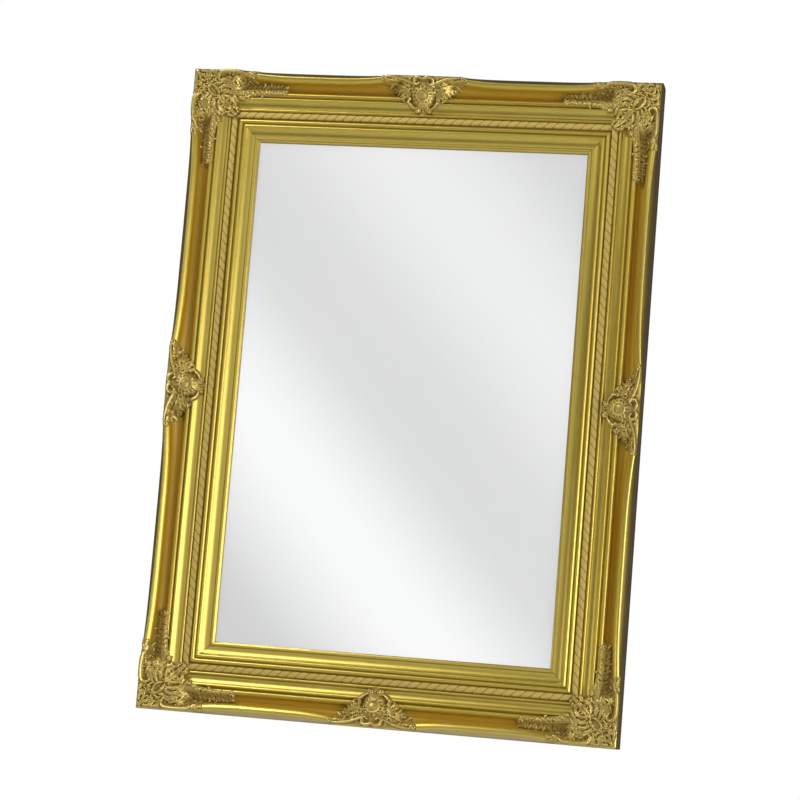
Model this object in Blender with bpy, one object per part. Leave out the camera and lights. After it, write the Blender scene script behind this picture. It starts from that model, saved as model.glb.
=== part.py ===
# Gilt wall mirror: four mitred and swept mouldings round a plain glass, with
# rope-twist strips and cast leaf ornaments at the corners and at mid length.
# The mirror faces -Y, its width runs along X and its height along Z.
# The origin is the middle of the hanger's flat back, where the mirror hangs.

import math

import bpy
import numpy as np

# Driving sizes, in metres
SIGHT_WIDTH = 0.390
SIGHT_HEIGHT = 0.590
FRAME_WIDTH = 0.083
BACK_DEPTH = 0.012
SWEEP = 0.0052
SWEEP_START = 0.060
GAP = 0.0003
CAST_GAP = 0.0006

GLASS_THICKNESS = 0.003
GLASS_LAP = 0.005
BOARD_THICKNESS = 0.003
REBATE_CLEARANCE = 0.001

ROPE_PITCH = 0.0107
ROPE_RISE = 0.0040
ROPE_NOTCH = 0.0013

CORNER_ARM = 0.121
CENTRE_HALF_LENGTH = 0.052
CAST_THICKNESS = 0.0012
CAST_EDGE = 0.0008
CAST_GRID = 0.0017
CAST_UNITS = 83.0
CORNER_FACES = 750
CENTRE_FACES = 420

HANGER_LENGTH = 0.064
HANGER_HEIGHT = 0.012
HANGER_THICKNESS = 0.0012
HANGER_TOOTH = 0.0040
SCREW_RADIUS = 0.0024
SCREW_HEAD = 0.0009
SCREW_INSET = 0.005

RAIL_STATIONS = 6
ARC_STEP = 0.0036

# Places worked out from the driving sizes
HALF_WIDTH = SIGHT_WIDTH / 2 + FRAME_WIDTH
HALF_HEIGHT = SIGHT_HEIGHT / 2 + FRAME_WIDTH
BACK_Y = -HANGER_THICKNESS - GAP
GLASS_Y = BACK_Y - BACK_DEPTH
CENTRE_Z = -(SIGHT_HEIGHT + FRAME_WIDTH) / 2
REBATE = GLASS_LAP + REBATE_CLEARANCE

# The moulding from the sight edge outwards. Each row is a point, as a distance
# from the sight edge and a height over the glass, with the bulge of the arc
# that leads to it and the share of the sweep that moves it.
MOULDING = (
    (0.0000, 0.0003, 0.0, 0.0),
    (0.0000, 0.0028, 0.0, 0.0),
    (0.0042, 0.0060, 0.0012, 0.0),
    (0.0054, 0.0050, 0.0, 0.0),
    (0.0154, 0.0102, -0.0014, 0.0),
    (0.0192, 0.0104, 0.0013, 0.0),
    (0.0202, 0.0096, 0.0, 0.0),
    (0.0256, 0.0100, 0.0022, 0.0),
    (0.0264, 0.0088, 0.0, 0.0),
    (0.0344, 0.0088, 0.0, 0.0),
    (0.0389, 0.0082, 0.0025, 0.0),
    (0.0398, 0.0074, 0.0, 0.0),
    (0.0484, 0.0120, -0.0011, 0.0),
    (0.0514, 0.0112, 0.0013, 0.0),
    (0.0527, 0.0096, 0.0, 0.0),
    (0.0590, 0.0092, 0.0023, 0.0),
    (0.0640, 0.0046, -0.0008, 0.10),
    (0.0740, 0.0168, -0.0030, 1.0),
    (0.0776, 0.0214, 0.0006, 1.0),
    (0.0816, 0.0206, 0.0011, 1.0),
    (0.0827, 0.0120, 0.0006, 0.25),
    (0.0830, 0.0060, 0.0, 0.0),
)
ROPE_FLOOR_START = 0.0264
ROPE_FLOOR_END = 0.0344
ROPE_FLOOR_HEIGHT = 0.0088
MOULDING_WIDTH = 0.083

# How high a casting stands over the glass where it spans the cove, in
# millimetres, at places in from the outer edge
GROUND_PLACES = (0, 3, 7, 18, 32, 40)
GROUND_HEIGHTS = (12, 19, 20.5, 16.5, 11.5, 9)


def clear_scene():
    for item in list(bpy.data.objects):
        bpy.data.objects.remove(item, do_unlink=True)


def finish(name, colour, roughness, metallic):
    material = bpy.data.materials.new(name)
    material.use_nodes = True
    shader = material.node_tree.nodes["Principled BSDF"]
    shader.inputs["Base Color"].default_value = (*colour, 1.0)
    shader.inputs["Roughness"].default_value = roughness
    shader.inputs["Metallic"].default_value = metallic
    material.diffuse_color = (*colour, 1.0)
    return material


def add_object(name, vertices, faces, material, smooth_angle=None):
    mesh = bpy.data.meshes.new(name)
    mesh.from_pydata([tuple(v) for v in vertices], [], [tuple(f) for f in faces])
    mesh.materials.append(material)
    mesh.update()
    if smooth_angle is not None:
        mesh.shade_smooth()
        mesh.set_sharp_from_angle(angle=math.radians(smooth_angle))
    item = bpy.data.objects.new(name, mesh)
    bpy.context.scene.collection.objects.link(item)
    return item


# The moulding's section

def arc(start, end, bulge, count):
    """Points after start, up to end, on an arc that bulges to the left."""
    start = np.array(start)
    end = np.array(end)
    if abs(bulge) < 1e-9 or count < 2:
        return [tuple(end)]
    chord = end - start
    length = float(np.hypot(*chord))
    across = np.array([-chord[1], chord[0]]) / length
    points = []
    for step in range(1, count + 1):
        share = step / count
        lift = 4.0 * share * (1.0 - share) * bulge
        points.append(tuple(start + chord * share + across * lift))
    return points


def moulding_rows(arc_step):
    """Rows of distance from the sight edge, height and share of the sweep."""
    scale = FRAME_WIDTH / MOULDING_WIDTH
    rows = [(MOULDING[0][0] * scale, MOULDING[0][1], MOULDING[0][3])]
    for before, after in zip(MOULDING, MOULDING[1:]):
        start = (before[0] * scale, before[1])
        end = (after[0] * scale, after[1])
        length = math.hypot(end[0] - start[0], end[1] - start[1])
        count = max(2, round(length / arc_step)) if after[2] else 1
        points = arc(start, end, after[2], count)
        for step, point in enumerate(points, start=1):
            share = before[3] + (after[3] - before[3]) * step / len(points)
            rows.append((point[0], point[1], share))
    return np.array(rows)


ROWS = moulding_rows(ARC_STEP)


def sweep_at(along, half_length):
    """How far the rim swings in, at a distance from the member's middle."""
    start = CENTRE_HALF_LENGTH * 0.72
    end = half_length - SWEEP_START
    share = np.clip((np.abs(along) - start) / (end - start), 0.0, 1.0)
    return SWEEP * (1 - (1 - np.sin(math.pi * share)) ** 2)


def height_in_member(from_edge, along, half_length):
    """Height of the moulding at a distance in from its outer edge."""
    out = FRAME_WIDTH - from_edge
    swing = sweep_at(along, half_length)
    heights = np.empty_like(out)
    flat_out = out.ravel()
    flat_swing = np.broadcast_to(swing, out.shape).ravel()
    flat_heights = heights.ravel()
    front = ROWS[1:]
    for index, (place, moved) in enumerate(zip(flat_out, flat_swing)):
        flat_heights[index] = np.interp(place, front[:, 0] - front[:, 2] * moved, front[:, 1])
    scale = FRAME_WIDTH / MOULDING_WIDTH
    on_rope = (out > ROPE_FLOOR_START * scale) & (out < ROPE_FLOOR_END * scale)
    rope_top = ROPE_FLOOR_HEIGHT + GAP + ROPE_RISE
    heights = flat_heights.reshape(out.shape)
    return np.where(on_rope, np.maximum(heights, rope_top), heights)


def corner_height(across, up):
    """Moulding height at distances in from a corner's two outer edges."""
    in_rail = up <= across
    from_edge = np.where(in_rail, up, across)
    rail_along = HALF_WIDTH - across
    stile_along = HALF_HEIGHT - up
    rail = height_in_member(from_edge, rail_along, HALF_WIDTH)
    stile = height_in_member(from_edge, stile_along, HALF_HEIGHT)
    return np.where(in_rail, rail, stile)


# Frame members

def placed(member, along, out, height):
    """A point of a member, from its run, its distance out and its height."""
    y = GLASS_Y - height
    half_wide = SIGHT_WIDTH / 2
    half_high = SIGHT_HEIGHT / 2
    if member == "top":
        return (along, y, CENTRE_Z + half_high + out)
    if member == "bottom":
        return (-along, y, CENTRE_Z - half_high - out)
    if member == "left":
        return (-half_wide - out, y, CENTRE_Z + along)
    return (half_wide + out, y, CENTRE_Z - along)


def sight_length(member):
    return SIGHT_WIDTH if member in ("top", "bottom") else SIGHT_HEIGHT


def member_section():
    """The closed section: moulded front, flat side and back, then rebate."""
    front = [tuple(row) for row in ROWS]
    back = [
        (FRAME_WIDTH, -BACK_DEPTH, 0.0),
        (REBATE, -BACK_DEPTH, 0.0),
        (REBATE, GAP, 0.0),
    ]
    return front + back


def build_member(name, member, material):
    """A mitred member whose straight rows span it and whose rim is swept."""
    section = member_section()
    half_sight = sight_length(member) / 2
    half_length = half_sight + FRAME_WIDTH
    mitre_gap = GAP * 0.75
    start = CENTRE_HALF_LENGTH * 0.72
    end = half_length - SWEEP_START
    bay = [start + (end - start) * step / RAIL_STATIONS for step in range(RAIL_STATIONS + 1)]
    stations = sorted([-place for place in bay] + bay)
    vertices = []
    rows = []
    for out, height, share in section:
        reach = half_sight + out - mitre_gap
        places = [-reach] + (stations if share > 0 else []) + [reach]
        row = []
        for place in places:
            moved = share * float(sweep_at(np.array(place), half_length))
            row.append(len(vertices))
            vertices.append(placed(member, place, out - moved, height))
        rows.append(row)
    faces = []
    for this, following in zip(rows, rows[1:] + rows[:1]):
        faces += strip(this, following)
    faces.append([row[0] for row in rows])
    faces.append([row[-1] for row in reversed(rows)])
    return add_object(name, vertices, faces, material, 32)


def strip(this, following):
    """Faces between two rows, wound outwards, whose counts may differ."""
    if len(this) == len(following):
        return [
            [this[i], this[i + 1], following[i + 1], following[i]]
            for i in range(len(this) - 1)
        ]
    return [list(this) + list(reversed(following))]


# Rope twist

def build_rope(name, member, material):
    """A half-round strip cut by slanting notches, mitred at both ends."""
    left = ROPE_FLOOR_START * FRAME_WIDTH / MOULDING_WIDTH + GAP
    right = ROPE_FLOOR_END * FRAME_WIDTH / MOULDING_WIDTH - GAP
    width = right - left
    floor = ROPE_FLOOR_HEIGHT + GAP
    half_sight = sight_length(member) / 2
    run = 2 * (half_sight + left) - 2 * ROPE_RISE
    turns = max(1, round(run / ROPE_PITCH))
    step = run / (2 * turns)
    rows_across = ((0.16, 0.62, -0.5), (0.5, 1.0, 0.0), (0.84, 0.62, 0.5))
    vertices = []

    def reach(share):
        return half_sight + left + width * share - GAP

    def row_of(share, rise, skew):
        row = [len(vertices)]
        base = floor + ROPE_RISE * rise
        vertices.append(placed(member, -reach(share), left + width * share, base - ROPE_NOTCH))
        for index in range(2 * turns - 1):
            place = -run / 2 + step * (index + 1 + skew)
            lift = 0.0 if index % 2 else -ROPE_NOTCH
            row.append(len(vertices))
            vertices.append(placed(member, place, left + width * share, base + lift))
        row.append(len(vertices))
        vertices.append(placed(member, reach(share), left + width * share, base - ROPE_NOTCH))
        return row

    def edge_of(share):
        row = []
        count = max(2, turns // 2)
        for index in range(count + 1):
            place = reach(share) * (2 * index / count - 1)
            row.append(len(vertices))
            vertices.append(placed(member, place, left + width * share, floor))
        return row

    first = edge_of(0.0)
    ridges = [row_of(*row) for row in rows_across]
    last = edge_of(1.0)
    faces = zip_rows(vertices, first, ridges[0], member)
    for this, following in zip(ridges, ridges[1:]):
        faces += strip(this, following)
    faces += zip_rows(vertices, ridges[-1], last, member)
    faces += strip(last, first)
    faces.append([first[0]] + [row[0] for row in ridges] + [last[0]])
    faces.append([last[-1]] + [row[-1] for row in reversed(ridges)] + [first[-1]])
    return add_object(name, vertices, faces, material)


def zip_rows(vertices, this, following, member):
    """Triangles between two rows whose points stand at different places."""
    axis = 0 if member in ("top", "bottom") else 2
    faces = []
    i = 0
    j = 0
    run = abs(vertices[this[-1]][axis] - vertices[this[0]][axis])
    other_run = abs(vertices[following[-1]][axis] - vertices[following[0]][axis])
    while i < len(this) - 1 or j < len(following) - 1:
        here = abs(vertices[this[min(i + 1, len(this) - 1)]][axis] - vertices[this[0]][axis]) / run
        there = abs(vertices[following[min(j + 1, len(following) - 1)]][axis] - vertices[following[0]][axis])
        there = there / other_run
        step_this = i < len(this) - 1 and (j == len(following) - 1 or here <= there)
        if step_this:
            faces.append([this[i], this[i + 1], following[j]])
            i += 1
        else:
            faces.append([this[i], following[j + 1], following[j]])
            j += 1
    return faces


# Cast ornament, drawn as strokes. A stroke is a path with a half width and a
# rise at each of its points. Leaves and scrolls lie on smoother masses. The
# drawing counts CAST_UNITS over the width of the frame.

MM = FRAME_WIDTH / CAST_UNITS


def stroke(points, half_widths, rises):
    """A round-backed stroke through a few points, in millimetres."""
    points = np.array(points, float)
    knots = np.arange(len(points))
    fine = np.linspace(0, len(points) - 1, 6 * (len(points) - 1) + 1)
    path = np.stack([smooth_through(knots, points[:, k], fine) for k in range(2)], 1)
    shares = np.linspace(0, 1, len(fine))
    widths = np.interp(shares, np.linspace(0, 1, len(half_widths)), half_widths)
    heights = np.interp(shares, np.linspace(0, 1, len(rises)), rises)
    return path * MM, widths * MM, heights * MM


def smooth_through(knots, values, places):
    """A Catmull-Rom curve through the values."""
    padded = np.concatenate([[2 * values[0] - values[1]], values, [2 * values[-1] - values[-2]]])
    index = np.clip(places.astype(int), 0, len(knots) - 2)
    t = places - index
    a, b, c, d = (padded[index + k] for k in range(4))
    return 0.5 * (
        2 * b + (c - a) * t + (2 * a - 5 * b + 4 * c - d) * t ** 2 + (3 * b - a - 3 * c + d) * t ** 3
    )


def volute(centre, radius, start, turn, half_width, rise, turns=1.1):
    """A stroke that curls in to its centre from a starting angle."""
    count = 7
    points = []
    for step in range(count):
        share = step / (count - 1)
        angle = math.radians(start + turn * 360 * turns * share)
        reach = radius * (1 - 0.82 * share)
        points.append((centre[0] + reach * math.cos(angle), centre[1] + reach * math.sin(angle)))
    return stroke(points, (half_width, half_width * 0.9), (rise, rise * 1.1))


def petals(centre, angles, reach, half_width, rise, inner=0.25):
    """Leaf lobes that fan out of one point."""
    strokes = []
    widths = (half_width * 0.5, half_width, half_width * 0.55)
    rises = (rise * 0.7, rise, rise * 0.8)
    for angle in angles:
        way = np.array([math.cos(math.radians(angle)), math.sin(math.radians(angle))])
        path = [np.array(centre) + way * reach * share for share in (inner, 0.6, 1.0)]
        strokes.append(stroke(path, widths, rises))
    return strokes


def leaf_arm(path, count, spread, lengths, half_width, rise):
    """A run of paired lobes that lean along a rib and grow smaller."""
    rib = np.array(path, float)
    knots = np.arange(len(rib))
    strokes = [stroke(path, (1.6, 1.1), (rise * 0.95, rise * 0.6))]
    for index in range(count):
        share = (index + 0.5) / count
        place = share * (len(rib) - 1)
        here = np.array([smooth_through(knots, rib[:, k], np.array([place]))[0] for k in range(2)])
        ahead_place = min(place + 0.05, len(rib) - 1.0)
        ahead = np.array([smooth_through(knots, rib[:, k], np.array([ahead_place]))[0] for k in range(2)])
        heading = math.degrees(math.atan2(ahead[1] - here[1], ahead[0] - here[0]))
        length = lengths[0] + (lengths[1] - lengths[0]) * share
        lobe = half_width * (length / lengths[0]) ** 0.5
        for side in (-1, 1):
            height = rise * (0.9 - 0.25 * share)
            strokes += petals(here, [heading + side * spread], length, lobe, height, 0.1)
    return strokes


def swapped(strokes):
    return [(path[:, ::-1].copy(), widths, rises) for path, widths, rises in strokes]


def mirrored(strokes):
    return [(path * np.array([-1.0, 1.0]), widths, rises) for path, widths, rises in strokes]


def dome(centre, radius, rise):
    """A smooth boss."""
    x, y = centre
    return stroke(((x - 0.4, y), (x + 0.4, y)), (radius, radius), (rise, rise))


def ring(centre, radii, half_width, rise):
    """A raised oval rim."""
    angles = [math.radians(step * 30) for step in range(13)]
    points = [(centre[0] + radii[0] * math.cos(a), centre[1] + radii[1] * math.sin(a)) for a in angles]
    return stroke(points, (half_width, half_width), (rise, rise))


def corner_masses():
    """The smooth swellings under a corner's leaves."""
    half = [
        stroke(((26, 12), (48, 10), (66, 8)), (11.0, 8.5, 4.5), (0.8, 0.6)),
        stroke(((42, 27), (60, 24.5), (80, 22.5), (98, 21.5), (112, 21.5)),
               (10.0, 8.0, 6.8, 5.6, 4.2), (2.0, 1.0)),
    ]
    middle = stroke(((12, 12), (20, 20), (30, 30), (42, 42)), (9.0, 15.0, 17.0, 9.0), (1.0, 4.0, 6.5, 1.5))
    return half + swapped(half) + [middle]


def corner_strokes():
    """Leaves and scrolls of one corner, from its outer corner inwards."""
    half = [
        stroke(((66.5, 8), (61, 4.8), (52, 3.6), (42, 3.6), (34.5, 5.4), (31, 10), (34, 14.2), (38.6, 12.4)),
               (1.2, 2.6, 3.3, 3.4, 2.9, 2.4, 1.9, 1.6), (2.4, 4.2, 4.8, 4.8, 4.5, 4.2, 4.0, 4.4)),
        volute((69.0, 11.5), 3.3, 200, -1, 1.5, 3.0),
        volute((59.0, 34.0), 2.8, 30, -1, 1.6, 3.4),
        volute((65.0, 31.0), 2.2, 30, -1, 1.4, 2.8),
        volute((111.5, 21.5), 3.8, -90, -1, 1.7, 3.0),
    ]
    half += petals((64, 5.5), (-10, 12, 36), 15, 2.2, 3.0)
    half += petals((37, 8), (18, 38, 58), 15, 2.0, 3.6)
    half += petals((49, 7), (16, 38, 60), 13, 1.9, 3.2)
    half += petals((44, 24), (-35, -8, 14), 12, 2.0, 3.0)
    rib = ((48, 26.5), (62, 24.5), (80, 22.5), (98, 21.5), (110, 21.5))
    half += leaf_arm(rib, 8, 50, (9.8, 6.4), 2.4, 2.8)
    whole = half + swapped(half)
    whole += petals((22, 22), (180, 200, 225, 250, 270), 17.5, 2.5, 3.6)
    whole += petals((30, 30), (-12, 2, 18, 34, 56, 72, 88, 102), 26, 2.3, 2.8, 0.34)
    whole += petals((30, 30), (45,), 27, 2.6, 3.2, 0.3)
    shield = ((23, 23), (30, 30), (37, 37), (43, 43))
    whole.append(stroke(shield, (4.5, 8.6, 8.0, 3.2), (1.6, 2.6, 2.6, 1.8)))
    return whole


def centre_masses():
    """The smooth swellings under a centre ornament's leaves."""
    wing = [stroke(((8, 13), (24, 13), (38, 8), (48, 4.5)), (11.0, 10.0, 6.0, 3.0), (2.0, 0.6))]
    middle = stroke(((0, 5), (0, 14), (0, 25), (0, 34), (0, 41)), (11.0, 14.0, 13.5, 9.0, 5.5),
                    (1.0, 3.0, 8.5, 3.5, 1.0))
    return wing + mirrored(wing) + [middle]


def centre_strokes():
    """Leaves and scrolls at mid length, from the outer edge inwards."""
    half = [
        stroke(((5.0, 39.5), (9.5, 38.5), (14, 36.0), (17, 31.8), (15.4, 27.5)), (1.4, 1.9, 2.3, 2.3, 1.7),
               (3.0, 3.6, 4.2, 4.4, 3.4)),
        stroke(((11, 12), (20, 8.4), (31, 5.4), (41, 3.8), (49, 3.4)), (1.7, 2.1, 2.0, 1.8, 1.3),
               (3.0, 3.6, 3.4, 3.0, 2.8)),
        stroke(((1, 6.2), (5.5, 4.2), (10.2, 6.0), (11.2, 10.6), (7.8, 12.6), (5.0, 10.6)),
               (2.1, 2.4, 2.3, 2.0, 1.6, 1.5), (3.8, 4.4, 4.2, 3.8, 3.4, 3.6)),
        volute((7.4, 41.4), 2.2, 200, -1, 1.5, 4.0),
        volute((48.4, 5.4), 3.1, 180, -1, 1.6, 3.2),
        volute((25.0, 25.5), 2.8, 60, 1, 1.5, 3.2),
    ]
    half += petals((14, 19), (-20, 8, 36, 64), 14.5, 2.2, 3.4)
    half += petals((24, 14), (-18, 6, 30, 54), 12, 1.9, 3.0)
    half += petals((34, 9), (-12, 12, 38), 10.5, 1.7, 2.8)
    whole = half + mirrored(half)
    whole += petals((0, 29), (60, 90, 120), 13.5, 2.0, 3.0)
    whole += [dome((0, 25), 5.2, 1.8), ring((0, 25), (7.6, 6.6), 1.4, 2.4)]
    return whole


def cast_relief(strokes, across, up):
    """How far inside the outline each point is, and its rise."""
    inside = np.full(across.shape, -1.0)
    rise = np.zeros(across.shape)
    for path, widths, heights in strokes:
        reach = widths.max() + 2.5 * MM
        low = path.min(0) - reach
        high = path.max(0) + reach
        near = (across > low[0]) & (across < high[0]) & (up > low[1]) & (up < high[1])
        if not near.any():
            continue
        spots = np.stack([across[near], up[near]], 1)
        gaps = np.hypot(*(spots[:, None, :] - path[None, :, :]).transpose(2, 0, 1))
        shares = gaps / widths[None, :]
        crown = np.sqrt(np.clip(1 - shares ** 2, 0, 1)) * heights[None, :]
        edge = ((widths[None, :] + CAST_EDGE) - gaps).max(1)
        inside[near] = np.maximum(inside[near], edge)
        rise[near] = np.maximum(rise[near], crown.max(1))
    return inside, rise


def holes_filled(inside):
    """The outline field with its small inner holes closed."""
    open_air = np.zeros(inside.shape, bool)
    open_air[0, :] = open_air[-1, :] = open_air[:, 0] = open_air[:, -1] = True
    open_air &= inside <= 0
    while True:
        grown = open_air.copy()
        grown[1:] |= open_air[:-1]
        grown[:-1] |= open_air[1:]
        grown[:, 1:] |= open_air[:, :-1]
        grown[:, :-1] |= open_air[:, 1:]
        grown &= inside <= 0
        if (grown == open_air).all():
            break
        open_air = grown
    return np.where((inside <= 0) & ~open_air, CAST_EDGE, inside)


def cells_inside(inside):
    """Outlined cells of a grid: polygons of corner and edge-crossing keys."""
    columns, lines = inside.shape
    polygons = []
    for i in range(columns - 1):
        for j in range(lines - 1):
            ring = ((i, j), (i + 1, j), (i + 1, j + 1), (i, j + 1))
            signs = [inside[spot] > 0 for spot in ring]
            if not any(signs):
                continue
            if all(signs):
                polygons.append([(spot, spot) for spot in ring])
                continue
            polygon = []
            for k in range(4):
                here = ring[k]
                ahead = ring[(k + 1) % 4]
                if signs[k]:
                    polygon.append((here, here))
                if signs[k] != signs[(k + 1) % 4]:
                    polygon.append((min(here, ahead), max(here, ahead)))
            if signs[0] == signs[2] and signs[1] == signs[3] and signs[0] != signs[1]:
                first = 1 if signs[0] else 2
                turned = polygon[first:] + polygon[:first]
                polygons += [turned[2:5], [turned[5], turned[0], turned[1]]]
            else:
                polygons.append(polygon)
    return polygons


def largest_group(polygons):
    """The polygons of the largest patch that hangs together by its edges."""
    owners = {}
    for index, polygon in enumerate(polygons):
        for here, ahead in zip(polygon, polygon[1:] + polygon[:1]):
            owners.setdefault(frozenset((here, ahead)), []).append(index)
    beside = [[] for _ in polygons]
    for pair in owners.values():
        if len(pair) == 2:
            beside[pair[0]].append(pair[1])
            beside[pair[1]].append(pair[0])
    seen = [False] * len(polygons)
    best = []
    for start in range(len(polygons)):
        if seen[start]:
            continue
        seen[start] = True
        group = [start]
        for index in group:
            for other in beside[index]:
                if not seen[other]:
                    seen[other] = True
                    group.append(other)
        if len(group) > len(best):
            best = group
    return [polygons[index] for index in sorted(best)]


def eased(values, low, high):
    share = np.clip((values - low) / (high - low), 0.0, 1.0)
    return share * share * (3 - 2 * share)


def cast_ground(from_edge, along, near, far):
    """Height to which a casting fills the cove, down to nothing past far."""
    ramp = np.interp(from_edge / MM, GROUND_PLACES, GROUND_HEIGHTS) * MM
    return ramp * (1 - eased(along / MM, near, far))


def corner_ground(across, up):
    return cast_ground(np.minimum(across, up), np.maximum(across, up), 50, 70)


def centre_ground(across, up):
    return cast_ground(up, np.abs(across), 22, 44)


def cast_body(masses, strokes, moulding_height, ground, low, high):
    """Vertices as across, up and height, with faces, of a closed casting."""
    wide = np.arange(low[0], high[0] + CAST_GRID, CAST_GRID)
    tall = np.arange(low[1], high[1] + CAST_GRID, CAST_GRID)
    across, up = np.meshgrid(wide, tall, indexing="ij")
    inside, rise = cast_relief(strokes, across, up)
    mass_inside, mass = cast_relief(masses, across, up)
    inside = np.maximum(inside, mass_inside)
    inside[(across < low[0] + CAST_EDGE) | (up < low[1] + CAST_EDGE)] = -1.0
    inside = holes_filled(inside)
    floor = moulding_height(across, up)
    for shift in (-CAST_GRID, -0.5 * CAST_GRID, 0.5 * CAST_GRID, CAST_GRID):
        floor = np.maximum(floor, moulding_height(across + shift, up))
        floor = np.maximum(floor, moulding_height(across, up + shift))
    floor = floor + CAST_GAP
    top = np.maximum(floor + CAST_THICKNESS, ground(across, up)) + rise + mass
    polygons = largest_group(cells_inside(inside))
    vertices = []
    index_of = {}

    def vertex(key, on_top):
        if (key, on_top) not in index_of:
            first, second = key
            share = 0.0
            if first != second:
                share = inside[first] / (inside[first] - inside[second])
                share = min(max(share, 0.12), 0.88)
            grids = (across, up, top if on_top else floor)
            index_of[key, on_top] = len(vertices)
            vertices.append([grid[first] + (grid[second] - grid[first]) * share for grid in grids])
        return index_of[key, on_top]

    faces = []
    edges = {}
    for polygon in polygons:
        faces.append([vertex(key, True) for key in polygon])
        faces.append([vertex(key, False) for key in reversed(polygon)])
        for here, ahead in zip(polygon, polygon[1:] + polygon[:1]):
            edges[here, ahead] = edges.get((here, ahead), 0) + 1
    for here, ahead in edges:
        if (ahead, here) not in edges:
            rise = [vertex(ahead, False), vertex(ahead, True)]
            faces.append([vertex(here, True), vertex(here, False)] + rise)
    return vertices, faces


def simplified(item, face_count):
    """Thins the mesh down to about a number of triangles."""
    item.data.update()
    triangles = sum(len(face.vertices) - 2 for face in item.data.polygons)
    thin = item.modifiers.new("thin", "DECIMATE")
    thin.decimate_type = "COLLAPSE"
    thin.ratio = min(1.0, face_count / triangles)
    thin.use_collapse_triangulate = True
    return item


def flipped(faces):
    return [list(reversed(face)) for face in faces]


def build_corners(material):
    low = (CAST_EDGE, CAST_EDGE)
    high = (CORNER_ARM + 0.004, CORNER_ARM + 0.004)
    body, faces = cast_body(corner_masses(), corner_strokes(), corner_height, corner_ground, low, high)
    for name, side, end in (
        ("top_left", -1, 1), ("top_right", 1, 1), ("bottom_left", -1, -1), ("bottom_right", 1, -1),
    ):
        vertices = []
        for across, up, height in body:
            x = side * (HALF_WIDTH - across)
            z = CENTRE_Z + end * (HALF_HEIGHT - up)
            vertices.append((x, GLASS_Y - height, z))
        turned = faces if side * end > 0 else flipped(faces)
        item = add_object("corner_ornament_" + name, vertices, turned, material, 50)
        simplified(item, CORNER_FACES)


def build_centres(material):
    low = (-CENTRE_HALF_LENGTH - 0.002, CAST_EDGE)
    high = (CENTRE_HALF_LENGTH + 0.002, 0.050)
    for member in ("top", "bottom", "left", "right"):
        half_length = sight_length(member) / 2 + FRAME_WIDTH

        def member_height(across, up):
            return height_in_member(up, across, half_length)

        body, faces = cast_body(centre_masses(), centre_strokes(), member_height, centre_ground, low, high)
        vertices = [
            placed(member, across, FRAME_WIDTH - up, height) for across, up, height in body
        ]
        item = add_object("centre_ornament_" + member, vertices, flipped(faces), material, 50)
        simplified(item, CENTRE_FACES)


# Glass, board and hanger

def build_slab(name, half_wide, half_high, front, back, material):
    corners = ((-1, -1), (1, -1), (1, 1), (-1, 1))
    vertices = [(x * half_wide, front, CENTRE_Z + z * half_high) for x, z in corners]
    vertices += [(x * half_wide, back, CENTRE_Z + z * half_high) for x, z in corners]
    faces = [(0, 1, 2, 3), (7, 6, 5, 4)]
    faces += [(k, k + 4, (k + 1) % 4 + 4, (k + 1) % 4) for k in range(4)]
    return add_object(name, vertices, faces, material)


def build_glass(material):
    half_wide = SIGHT_WIDTH / 2 + GLASS_LAP
    half_high = SIGHT_HEIGHT / 2 + GLASS_LAP
    back = GLASS_Y + GLASS_THICKNESS
    return build_slab("mirror_glass", half_wide, half_high, GLASS_Y, back, material)


def build_board(material):
    half_wide = SIGHT_WIDTH / 2 + GLASS_LAP
    half_high = SIGHT_HEIGHT / 2 + GLASS_LAP
    front = GLASS_Y + GLASS_THICKNESS + GAP
    return build_slab("backboard", half_wide, half_high, front, front + BOARD_THICKNESS, material)


def build_hanger(material):
    """A flat strip with a row of teeth along its lower edge."""
    half = HANGER_LENGTH / 2
    top = HANGER_HEIGHT / 2
    flat = HANGER_TOOTH * 3
    outline = [(-half, top), (-half, -top), (-flat, -top)]
    teeth = round(2 * flat / HANGER_TOOTH)
    for tooth in range(teeth):
        left = -flat + tooth * HANGER_TOOTH
        outline.append((left + HANGER_TOOTH / 2, -top + HANGER_TOOTH / 2))
        outline.append((left + HANGER_TOOTH, -top))
    outline += [(half, -top), (half, top)]
    front = [(x, -HANGER_THICKNESS, z) for x, z in outline]
    back = [(x, 0.0, z) for x, z in outline]
    count = len(outline)
    faces = [list(range(count)), list(range(2 * count - 1, count - 1, -1))]
    for k in range(count):
        ahead = (k + 1) % count
        faces.append([k, k + count, ahead + count, ahead])
    return add_object("sawtooth_hanger", front + back, faces, material)


def build_screw(name, x, material):
    """A low domed head on the strip's back face."""
    sides = 12
    rings = ((1.0, 0.0), (0.92, 0.55), (0.55, 0.92))
    vertices = []
    for reach, rise in rings:
        for k in range(sides):
            angle = 2 * math.pi * k / sides
            vertices.append((
                x + SCREW_RADIUS * reach * math.cos(angle),
                GAP + SCREW_HEAD * rise,
                SCREW_RADIUS * reach * math.sin(angle),
            ))
    faces = [list(range(sides))]
    for ring in range(len(rings) - 1):
        for k in range(sides):
            ahead = (k + 1) % sides
            low = ring * sides
            faces.append([low + k, low + k + sides, low + ahead + sides, low + ahead])
    last = (len(rings) - 1) * sides
    faces.append([last + k for k in reversed(range(sides))])
    return add_object(name, vertices, faces, material, 40)


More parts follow.
